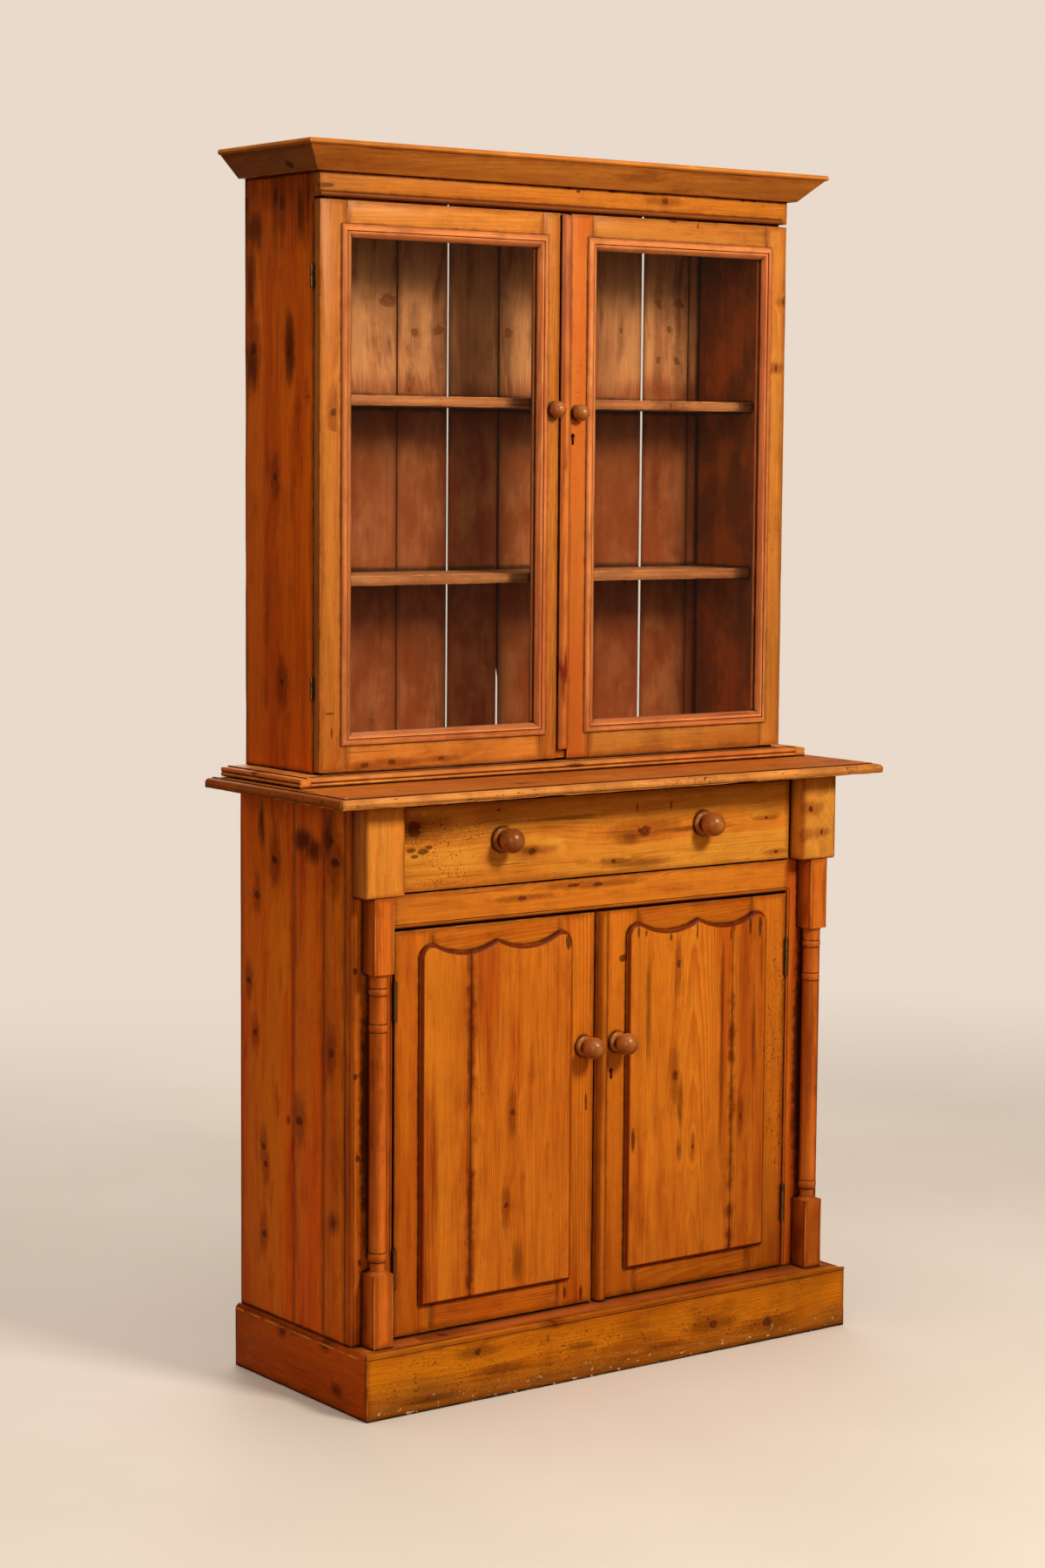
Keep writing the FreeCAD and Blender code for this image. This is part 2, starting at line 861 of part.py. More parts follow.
def knob(kind, x, y, z):
    """Turned knob: a ball on a short neck over a disc, with a peg that is glued into the wood."""
    size = SimpleNamespace(**{name: getattr(dim, f"{kind}_{name}_size") for name in KNOBS[kind]})
    body = new_body()
    ball, neck, reach = size.ball / 2, size.neck / 2, size.reach
    disc = size.disc / 2 - size.disc_thick / 2
    turned(body, [
        (0, -dim.peg_length),
        (size.peg / 2, -dim.peg_length),
        (size.peg / 2, 0),
        (disc, 0),
        (disc, size.disc_thick, size.disc_thick / 2),
        (neck, size.disc_thick),
        (neck, reach - root(ball * ball - neck * neck)),
        (0, reach + ball, 0, reach),
    ])
    return place(body, x, y, z, Rotation(Vector(1, 0, 0), 90))


def knob_hole(kind, x, y, z):
    """Hole for a knob's peg, bored from the face at y."""
    hole = doc.addObject("Part::Cylinder", "Hole")
    bind(hole, "Radius", getattr(dim, f"{kind}_peg_size") / 2)
    bind(hole, "Height", dim.peg_length)
    return place(hole, x, y, z, Rotation(Vector(1, 0, 0), -90))


# ---------------------------------------------------------------- drawer

drawer_half = half_opening - dim.drawer_side_gap
drawer_foot = rail_head + dim.drawer_foot_gap
drawer_head = dim.case_height - dim.top_rail_height - dim.drawer_head_gap
drawer_front = face - dim.drawer_front_proud
drawer_side_front = drawer_front + dim.drawer_front_thick
drawer_back = drawer_side_front + dim.drawer_length - dim.drawer_front_thick
drawer_inside = drawer_half - dim.drawer_side_thick
groove_foot = drawer_foot + dim.drawer_bottom_rise
groove_head = groove_foot + dim.drawer_bottom_thick
knob_level = drawer_foot + dim.drawer_knob_height
knob_places = (-dim.drawer_knob_left, dim.drawer_knob_right)


def drawer_groove_tool():
    """The space that the drawer bottom takes, also in the grooves of the front and the sides."""
    return board((-drawer_inside - dim.drawer_groove, drawer_inside + dim.drawer_groove),
                 (drawer_side_front - dim.drawer_groove, drawer_back), (groove_foot, groove_head))


def dovetailed_side():
    """Drawer side whose front end is cut into tails, which the drawer front laps over."""
    body = new_body()
    length, height = drawer_back - drawer_side_front, dim.drawer_side_height
    outline = [(length, 0), (length, height), (0, height)]
    for number in range(DOVETAILS):
        middle = height * (1 - (number + 0.5) / DOVETAILS)
        outline += [
            (0, middle + dim.dovetail_root / 2),
            (-dim.dovetail_length, middle + dim.dovetail_tip / 2),
            (-dim.dovetail_length, middle - dim.dovetail_tip / 2),
            (0, middle - dim.dovetail_root / 2),
        ]
    pad(body, "YZ_Plane", outline + [(0, 0)], dim.drawer_side_thick)
    return place(body, drawer_inside, drawer_side_front, drawer_foot)


front_board = board((-drawer_half, drawer_half), (drawer_front, drawer_side_front),
                    (drawer_foot, drawer_head))
holes = [knob_hole("drawer_knob", x, drawer_front, knob_level) for x in knob_places]
tails = dovetailed_side()
drawer_side = cut(tails, [drawer_groove_tool()])
node("drawer_front", cut(front_board, [tails, mirrored(tails), drawer_groove_tool()] + holes))
node("drawer_sides", group([drawer_side, mirrored(drawer_side)]))
node("drawer_back", board((-drawer_inside, drawer_inside),
                          (drawer_back - dim.drawer_side_thick, drawer_back),
                          (groove_head, drawer_foot + dim.drawer_side_height)))
node("drawer_bottom", drawer_groove_tool())
node("drawer_knobs", group([knob("drawer_knob", x, drawer_front, knob_level) for x in knob_places]))

# ---------------------------------------------------------------- lower doors

door_foot = dim.plinth_height + dim.door_foot_gap
door_head = rail_foot - dim.door_head_gap
door_edge = half_opening - dim.hinge_gap
right_door_start = -dim.meeting_edge
left_door_end = right_door_start - dim.meeting_gap
strip_end = right_door_start + dim.strip_width
door_back = face + dim.door_thick


def keyhole_loop(x, z):
    """Keyhole outline: a round hole over a slot."""
    radius, slot = dim.keyhole_diameter / 2, dim.keyhole_slot / 2
    shoulder = z - root(radius * radius - slot * slot)
    return [
        (x - slot, z - dim.keyhole_drop),
        (x + slot, z - dim.keyhole_drop),
        (x + slot, shoulder),
        (x, z + radius, x, z),
        (x - slot, shoulder, x, z),
    ]


def lock_box(x, y, z):
    """Lock let into the back of a stile, flush with it; y is the back of the stile."""
    return board((x - dim.lock_width / 2, x + dim.lock_width / 2), (y - dim.lock_thick, y),
                 (z - dim.lock_height / 2, z + dim.lock_height / 2))


def lipped_stile(section, height, keyhole_x, keyhole_z):
    """Meeting stile of a right-hand door, from its section, with its keyhole."""
    body = new_body()
    pad(body, "XY_Plane", section, height)
    pocket(body, "XZ_Plane", [keyhole_loop(keyhole_x, keyhole_z)])
    return body


def rails(left, right, y, foot, head, foot_rail, head_rail):
    return [board((left, right), y, (foot, foot + foot_rail)),
            board((left, right), y, (head - head_rail, head))]


door_y = (face, door_back)
left_opening = (-door_edge + dim.left_hinge_stile, left_door_end - dim.left_meeting_stile)
right_opening = (right_door_start + dim.right_meeting_stile, door_edge - dim.right_hinge_stile)
lower_lock_z = door_foot + dim.lower_keyhole_height
lower_knob_level = lower_lock_z + dim.lower_knob_rise
left_knob_x = left_door_end - dim.lower_knob_inset
right_knob_x = strip_end + dim.lower_knob_inset

left_meeting_stile = cut(
    board((left_opening[1], left_door_end), door_y, (door_foot, door_head)),
    [knob_hole("lower_knob", left_knob_x, face, lower_knob_level)])
node("lower_left_door_frame", group([
    board((-door_edge, left_opening[0]), door_y, (door_foot, door_head)),
    left_meeting_stile,
] + rails(*left_opening, door_y, door_foot, door_head, dim.door_foot_rail, dim.door_head_rail)))

lower_keyhole_x = strip_end + dim.lower_keyhole_inset
lock_x = lower_keyhole_x + dim.keyhole_slot
lipped = lipped_stile([
    (0, 0),
    (dim.right_meeting_stile, 0),
    (dim.right_meeting_stile, dim.door_thick),
    (-dim.meeting_lip, dim.door_thick),
    (-dim.meeting_lip, dim.door_thick / 2),
    (0, dim.door_thick / 2),
], door_head - door_foot, dim.strip_width + dim.lower_keyhole_inset, dim.lower_keyhole_height)
place(lipped, right_door_start, face, door_foot)
right_meeting_stile = cut(lipped, [
    knob_hole("lower_knob", right_knob_x, face, lower_knob_level),
    lock_box(lock_x, door_back, lower_lock_z),
])
node("lower_right_door_frame", group([
    board((right_opening[1], door_edge), door_y, (door_foot, door_head)),
    right_meeting_stile,
] + rails(*right_opening, door_y, door_foot, door_head, dim.door_foot_rail, dim.door_head_rail)))


def shaped_panel(left, right, opening):
    """Panel planted on the door frame: its head dips on each side of a middle peak between round
    shoulders, its edge is rounded, and a tongue behind it fills the frame."""
    body = new_body()
    half = (right - left) / 2
    dip_place, peak_rise = half * dim.panel_dip_share, dim.panel_peak_rise
    crest = door_head - dim.panel_head_margin - door_foot - dim.panel_foot_margin
    dip = crest - dim.panel_dip_drop
    dip_radius = (dip_place * dip_place + peak_rise * peak_rise) / (2 * peak_rise)
    dip_centre = dip + dip_radius
    # The shoulder's circle touches the panel's side, the crest line and the dip's circle.
    across = half - dip_place
    upward = dip_centre - crest
    middle = across - upward + dip_radius
    radius = middle - root(middle * middle - across * across - upward * upward
                           + dip_radius * dip_radius)
    shoulder_x, shoulder_z = half - radius, crest - radius
    share = radius / (dip_radius + radius)
    touch_x = shoulder_x + (dip_place - shoulder_x) * share
    touch_z = shoulder_z + (dip_centre - shoulder_z) * share
    pad(body, "XZ_Plane", [
        (-half, 0),
        (half, 0),
        (half, shoulder_z),
        (touch_x, touch_z, shoulder_x, shoulder_z),
        (0, dip + peak_rise, dip_place, dip_centre),
        (-touch_x, touch_z, -dip_place, dip_centre),
        (-half, shoulder_z, -shoulder_x, shoulder_z),
    ], dim.panel_proud)
    rounded(body, [{"y": -dim.panel_proud}], dim.panel_round)
    centre = (left + right) / 2
    low = opening[0] - centre + dim.panel_play
    high = opening[1] - centre - dim.panel_play
    foot = dim.door_foot_rail - dim.panel_foot_margin + dim.panel_play
    head = door_head - dim.door_head_rail - door_foot - dim.panel_foot_margin - dim.panel_play
    pad(body, "XZ_Plane", [(low, foot), (high, foot), (high, head), (low, head)],
        dim.panel_tongue, backwards=True)
    return place(body, centre, face, door_foot + dim.panel_foot_margin)


node("lower_left_door_panel", shaped_panel(-door_edge + dim.panel_hinge_margin,
                                           left_door_end - dim.panel_left_margin, left_opening))
node("lower_right_door_panel", shaped_panel(right_door_start + dim.panel_right_margin,
                                            door_edge - dim.panel_hinge_margin, right_opening))


def half_round_strip(width, proud, edge, recess, height):
    """Upright half-round moulding; its back lies at +recess and its crown at -proud."""
    body = new_body()
    pad(body, "XY_Plane", [
        (0, -edge),
        (width, -edge, proud - edge),
        (width, recess),
        (0, recess),
    ], height)
    return body


node("lower_meeting_strip", place(
    half_round_strip(dim.strip_width, dim.strip_proud, dim.strip_edge, 0, door_head - door_foot),
    right_door_start, face, door_foot))
node("lower_left_knob", knob("lower_knob", left_knob_x, face, lower_knob_level))
node("lower_right_knob", knob("lower_knob", right_knob_x, face, lower_knob_level))
node("lower_lock", lock_box(lock_x, door_back, lower_lock_z))

# ---------------------------------------------------------------- upper case

low_shelf = upper_foot + dim.low_shelf_height
high_shelf = upper_foot + dim.high_shelf_height
shelf_ends = (-half_upper_inside - dim.housing_depth, half_upper_inside + dim.housing_depth)


def upper_boards():
    """Places of the boards that the upper sides are housed for: two shelves and the top."""
    levels = []
    for head in (low_shelf, high_shelf):
        levels.append(((upper_shelf_front, back_board_front), (head - dim.upper_shelf_thick, head)))
    levels.append(((upper_side_front, back_board_front), (upper_head - dim.upper_top_thick, upper_head)))
    return levels


upper_side = cut(
    board((half_upper_inside, half_upper), (upper_side_front, back), (upper_foot, upper_head)),
    [board((half_upper_inside - dim.overcut, half_upper_inside + dim.housing_depth), y, z)
     for y, z in upper_boards()])
node("upper_side_right", upper_side)
node("upper_side_left", mirrored(upper_side))
shelves = [board(shelf_ends, y, z) for y, z in upper_boards()]
node("upper_top_board", shelves.pop())
node("upper_shelves", group(shelves))
node("centre_post", board((-dim.post_width / 2, dim.post_width / 2),
                          (upper_side_front, upper_shelf_front),
                          (upper_foot, upper_head - dim.upper_top_thick)))


def upper_back():
    """Upright back boards with bevelled edges; they have shrunk apart at two of the joints."""
    inside = 2 * half_upper_inside
    count = int((inside - dim.back_first_board).value() // dim.back_board_pitch.value()) + 1
    joints = [dim.back_first_board + dim.back_board_pitch * number for number in range(count)]
    edges = [Size(0)] + joints + [inside]
    gaps = [Size(0)] + [dim.open_joint_width if number in OPEN_BACK_JOINTS else dim.board_gap
                        for number in range(count)] + [Size(0)]
    bevel, thick = dim.back_board_bevel, dim.back_thick
    planks = []
    for number in range(count + 1):
        width = edges[number + 1] - gaps[number + 1] / 2 - edges[number] - gaps[number] / 2
        body = new_body()
        pad(body, "XY_Plane", [
            (0, bevel),
            (bevel, 0),
            (width - bevel, 0),
            (width, bevel),
            (width, thick),
            (0, thick),
        ], dim.upper_height)
        place(body, edges[number] + gaps[number] / 2 - half_upper_inside, back_board_front, upper_foot)
        planks.append(body)
    return group(planks)


node("upper_back_boards", upper_back())


def upper_base_board():
    """Board under the upper case, with a double-reeded nose and a small step on top."""
    body = new_body()
    deep = back - upper_face + dim.base_nose
    reeds = 2 * dim.reed_height
    pad(body, "YZ_Plane", [
        (dim.reed_depth, 0, dim.reed_depth),
        (deep, 0),
        (deep, dim.base_thick),
        (dim.base_field_setback, dim.base_thick),
        (dim.base_field_setback, reeds),
        (dim.reed_depth, reeds),
        (dim.reed_depth, dim.reed_height, dim.reed_depth),
    ], 2 * base_inner, both_ways=True)
    return place(body, 0, upper_face - dim.base_nose, worktop_head)


def upper_base_end():
    """Reeded strip across the end of the base board; its end grain shows at the front."""
    body = new_body()
    width = dim.base_end_width
    pad(body, "XZ_Plane", [
        (0, 0),
        (width - dim.reed_depth, 0),
        (width - dim.reed_depth, dim.reed_height, dim.reed_depth),
        (width - dim.reed_depth, 2 * dim.reed_height, dim.reed_depth),
        (width - dim.base_field_setback, 2 * dim.reed_height),
        (width - dim.base_field_setback, dim.base_thick),
        (0, dim.base_thick),
    ], back - upper_face + dim.base_nose, backwards=True)
    return place(body, base_inner, upper_face - dim.base_nose, worktop_head)


base_inner = half_upper + dim.base_overhang - dim.base_end_width
node("upper_base_board", upper_base_board())
base_end = upper_base_end()
node("upper_base_ends", group([base_end, mirrored(base_end)]))

# ---------------------------------------------------------------- frieze and cornice


def frieze_bead():
    """Bead under the frieze; its right-hand end is broken off."""
    body = new_body()
    height, edge = dim.frieze_bead_height, dim.frieze_bead_edge
    pad(body, "YZ_Plane", [
        (-edge, 0, dim.frieze_bead_proud - edge),
        (0, 0),
        (0, height),
        (-edge, height),
    ], 2 * half_upper - dim.frieze_bead_missing)
    return place(body, -half_upper, upper_face, frieze_foot)


def corner_set(steps, inward, outward, z):
    """A moulding round the front and both ends of the upper case, mitred at the front corners."""
    front = place(run(steps, inward, outward, 2 * half_upper), -half_upper, upper_face, z)
    end_run = place(run(steps, inward, outward, back - upper_face, mitred_end=False),
                    half_upper, upper_face, z, Rotation(Vector(0, 0, 1), 90))
    return front, end_run


node("frieze", board((-half_upper, half_upper), (upper_face, upper_side_front),
                     (frieze_foot, upper_head)))
node("frieze_bead", frieze_bead())
cornice_front, cornice_end = corner_set([
    (-dim.cornice_heel, 0),
    (0, 0),
    (dim.cornice_heel - dim.cornice_projection, dim.cornice_rise),
    (-dim.cornice_projection, dim.cornice_rise),
], Size(0), dim.cornice_projection, upper_head - dim.cornice_rise)
node("cornice_front", cornice_front)
node("cornice_ends", group([cornice_end, mirrored(cornice_end)]))
nose = dim.cap_thick / 2
cap_front, cap_end = corner_set([
    (nose - dim.cap_projection, 0, nose),
    (dim.cap_lap, 0),
    (dim.cap_lap, dim.cap_thick),
    (nose - dim.cap_projection, dim.cap_thick),
], dim.cap_lap, dim.cap_projection, upper_head)
node("cornice_cap", group([cap_front, cap_end, mirrored(cap_end)]))

# ---------------------------------------------------------------- upper doors

sash_foot = upper_foot + dim.sash_foot_gap
sash_head = frieze_foot - dim.sash_head_gap
sash_back = upper_face + dim.sash_thick
sash_y = (upper_face, sash_back)
right_sash_start = -dim.sash_edge
left_sash_end = right_sash_start - dim.sash_gap
left_sight = (-half_upper + dim.left_outer_stile, left_sash_end - dim.left_inner_stile)
right_sight = (right_sash_start + dim.right_inner_stile, half_upper - dim.right_outer_stile)
sight_z = (sash_foot + dim.sash_foot_rail, sash_head - dim.sash_head_rail)
astragal_end = right_sash_start + dim.astragal_width
upper_lock_x = astragal_end + dim.upper_keyhole_inset
upper_lock_z = sash_foot + dim.upper_keyhole_height
left_sash_knob = (left_sash_end - dim.left_sash_knob_inset, upper_face,
                  upper_lock_z + dim.left_sash_knob_rise)
right_sash_knob = (astragal_end + dim.right_sash_knob_inset, upper_face,
                   upper_lock_z + dim.right_sash_knob_rise)

node("upper_left_door_frame", group([
    board((-half_upper, left_sight[0]), sash_y, (sash_foot, sash_head)),
    cut(board((left_sight[1], left_sash_end), sash_y, (sash_foot, sash_head)),
        [knob_hole("upper_knob", *left_sash_knob)]),
] + rails(*left_sight, sash_y, sash_foot, sash_head, dim.sash_foot_rail, dim.sash_head_rail)))

recessed = lipped_stile([
    (0, dim.astragal_recess),
    (dim.astragal_width, dim.astragal_recess),
    (dim.astragal_width, 0),
    (dim.right_inner_stile, 0),
    (dim.right_inner_stile, dim.sash_thick),
    (0, dim.sash_thick),
], sash_head - sash_foot, dim.astragal_width + dim.upper_keyhole_inset, dim.upper_keyhole_height)
place(recessed, right_sash_start, upper_face, sash_foot)
node("upper_right_door_frame", group([
    board((right_sight[1], half_upper), sash_y, (sash_foot, sash_head)),
    cut(recessed, [knob_hole("upper_knob", *right_sash_knob),
                   lock_box(upper_lock_x, sash_back, upper_lock_z)]),
] + rails(*right_sight, sash_y, sash_foot, sash_head, dim.sash_foot_rail, dim.sash_head_rail)))

upright = Rotation(Vector(1, 0, 0), 90)


def glazed_opening(steps, inward, outward, sight):
    """Four mitred lengths of moulding round the inside of a door frame."""
    width = sight[1] - sight[0]
    height = sight_z[1] - sight_z[0]
    sticks = []
    for length, x, z, angle in (
        (width, sight[0], sight_z[0], 0),
        (height, sight[1], sight_z[0], -90),
        (width, sight[1], sight_z[1], 180),
        (height, sight[0], sight_z[1], 90),
    ):
        stick = run(steps, inward, outward, length)
        sticks.append(place(stick, x, upper_face, z, Rotation(Vector(0, 1, 0), angle) * upright))
    return sticks


def glazing(sight):
    """Bolection moulding that laps the frame and holds the glass against stops behind it."""
    lap, lip, depth = dim.glazing_lap, dim.glazing_lip, dim.glass_depth
    quirk = dim.quirk / 2
    bolection = [
        (-lap, 0, quarter(dim.glazing_bead_proud)),
        (0, 0),
        (0, -depth),
        (lip, -depth),
        (lip, dim.glazing_lip_edge - depth),
        (quirk, dim.glazing_proud - quirk, 2 * quirk),
        (0, dim.glazing_proud - 3 * quirk),
        (-quirk, dim.glazing_proud),
        (dim.glazing_bead - lap, dim.glazing_bead_proud, -quirk),
    ]
    stop_back = -dim.sash_thick
    stop = [
        (0, stop_back),
        (dim.stop_width - dim.stop_bevel, stop_back),
        (dim.stop_width, stop_back + dim.stop_bevel),
        (dim.stop_width, -depth - dim.glass_thick),
        (0, -depth - dim.glass_thick),
    ]
    return group(glazed_opening(bolection, lip, lap, sight)
                 + glazed_opening(stop, dim.stop_width, Size(0), sight))


def pane(sight):
    """Glass, held between the moulding and the stops."""
    front = upper_face + dim.glass_depth
    play = dim.glass_play
    return board((sight[0] + play, sight[1] - play), (front, front + dim.glass_thick),
                 (sight_z[0] + play, sight_z[1] - play))


node("upper_left_glazing", glazing(left_sight))
node("upper_right_glazing", glazing(right_sight))
node("upper_left_glass", pane(left_sight))
node("upper_right_glass", pane(right_sight))
node("upper_astragal", place(
    half_round_strip(dim.astragal_width, dim.astragal_proud, dim.astragal_edge, dim.astragal_recess,
                     sash_head - sash_foot - dim.astragal_foot_missing - dim.astragal_head_gap),
    right_sash_start, upper_face, sash_foot + dim.astragal_foot_missing))
node("upper_left_knob", knob("upper_knob", *left_sash_knob))
node("upper_right_knob", knob("upper_knob", *right_sash_knob))
node("upper_lock", lock_box(upper_lock_x, sash_back, upper_lock_z))

# ---------------------------------------------------------------- hinges


def rod(radius, foot, length):
    cylinder = doc.addObject("Part::Cylinder", "Rod")
    bind(cylinder, "Radius", radius)
    bind(cylinder, "Height", length)
    return place(cylinder, 0, 0, foot)


def hinge_leaf(hand, height, on_case):
    """One leaf of a butt hinge. The pin lies along Z through the origin and the leaf towards +Y.

    The case's leaf has the two outer knuckles and the pin; the door's has the bored middle one.
    """
    knuckle = (height - 2 * dim.knuckle_gap) / 3
    spans = [(Size(0), knuckle), (height - knuckle, knuckle)] if on_case else [
        (knuckle + dim.knuckle_gap, knuckle)]
    side_of_pin = hand if on_case else -hand
    wood = dim.hinge_gap / 2
    x = (wood - dim.leaf_thick, wood) if side_of_pin > 0 else (-wood, dim.leaf_thick - wood)
    start = dim.hinge_set + dim.leaf_setback
    shapes = [board(x, (start, dim.hinge_set + dim.leaf_width), (0, height))]
    for foot, length in spans:
        shapes.append(board(x, (0, start), (foot, foot + length)))
        shapes.append(rod(dim.hinge_barrel / 2, foot, length))
    if on_case:
        shapes.append(rod(dim.hinge_pin / 2, 0, height))
        return fused(shapes)
    bore = rod((dim.hinge_pin + dim.hinge_bore_play) / 2, 0, height)
    return cut(fused(shapes), [bore])


def hinge_set(height, levels, hand, pin_x, pin_y, turn, on_case):
    """The same leaf at each of a door's hinges."""
    leaves = []
    for level in levels:
        leaf = hinge_leaf(hand, height, on_case)
        leaves.append(place(leaf, hand * pin_x, pin_y, level, Rotation(Vector(0, 0, 1), hand * turn)))
    return leaves


lower_levels = (door_foot + dim.lower_hinge_foot,
                door_head - dim.lower_hinge_head - dim.lower_hinge_height)
upper_levels = (sash_foot + dim.upper_hinge_foot,
                sash_head - dim.upper_hinge_head - dim.upper_hinge_height)
lower_set = (dim.lower_hinge_height, lower_levels)
upper_set = (dim.upper_hinge_height, upper_levels)
lower_pin = (door_edge + dim.hinge_gap / 2, face - dim.hinge_set, 0)
upper_pin = (half_upper + dim.hinge_set, sash_back + dim.hinge_gap / 2, 90)
for part, levels, pin in (("lower", lower_set, lower_pin), ("upper", upper_set, upper_pin)):
    case_leaves = []
    for name, hand in (("left", -1), ("right", 1)):
        node(f"{part}_{name}_hinge_leaves", group(hinge_set(*levels, hand, *pin, on_case=False)))
        case_leaves += hinge_set(*levels, hand, *pin, on_case=True)
    node(f"{part}_case_hinge_leaves", group(case_leaves))

# ---------------------------------------------------------------- checks and files


def check_document():
    doc.recompute()
    for thing in doc.Objects:
        if "Invalid" in thing.State or "Error" in thing.State:
            raise ValueError(f"{thing.Label} ({thing.Name}) failed: {thing.State}")
    for thing in nodes:
        if thing.Shape.isNull() or not thing.Shape.isValid() or not thing.Shape.Solids:
            raise ValueError(f"{thing.Label} has no valid solid")


def write_parts():
    os.makedirs("parts", exist_ok=True)
    for thing in nodes:
        thing.Shape.exportStep(f"parts/{thing.Label}.step")
        box = thing.Shape.BoundBox
        print(f"{thing.Label:26s} {len(thing.Shape.Solids):2d} solids  x {box.XMin:8.1f} {box.XMax:8.1f}"
              f"  y {box.YMin:8.1f} {box.YMax:8.1f}  z {box.ZMin:8.1f} {box.ZMax:8.1f}")


check_document()
write_parts()
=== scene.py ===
import json
import math
import random

import bmesh
import bpy
from mathutils import Matrix, Vector, noise

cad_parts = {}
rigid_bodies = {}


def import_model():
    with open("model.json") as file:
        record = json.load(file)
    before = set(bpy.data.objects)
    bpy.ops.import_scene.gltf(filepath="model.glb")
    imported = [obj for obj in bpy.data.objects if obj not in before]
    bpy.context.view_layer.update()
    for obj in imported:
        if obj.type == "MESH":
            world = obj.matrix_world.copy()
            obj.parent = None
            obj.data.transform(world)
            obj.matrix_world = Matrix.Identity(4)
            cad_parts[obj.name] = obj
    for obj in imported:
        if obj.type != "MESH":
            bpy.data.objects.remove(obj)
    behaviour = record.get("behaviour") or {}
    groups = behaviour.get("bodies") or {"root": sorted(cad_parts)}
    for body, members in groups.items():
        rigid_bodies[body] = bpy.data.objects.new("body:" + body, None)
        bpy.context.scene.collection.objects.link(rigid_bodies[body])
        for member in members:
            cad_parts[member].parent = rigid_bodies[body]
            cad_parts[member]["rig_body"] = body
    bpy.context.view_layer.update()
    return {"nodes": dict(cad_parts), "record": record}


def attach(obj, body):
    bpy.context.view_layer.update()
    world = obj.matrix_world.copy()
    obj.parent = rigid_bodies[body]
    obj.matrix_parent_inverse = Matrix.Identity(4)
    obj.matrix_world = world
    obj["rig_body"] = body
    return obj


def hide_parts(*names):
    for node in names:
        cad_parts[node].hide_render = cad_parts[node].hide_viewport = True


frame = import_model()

# ---------------------------------------- room
# A plain pale floor that runs out into a pale backdrop, soft studio light from high in front with a
# weaker one from the left, one overhead and one behind, and the camera. None of it belongs to the
# cupboard.


def srgb(red, green, blue):
    """A colour given as 0..255 screen values."""
    return tuple((c / 255 / 12.92) if c <= 10 else ((c / 255 + 0.055) / 1.055) ** 2.4
                 for c in (red, green, blue)) + (1.0,)


MIX_SHARE, MIX_FROM, MIX_TO, MIX_COLOUR = 0, 6, 7, 2


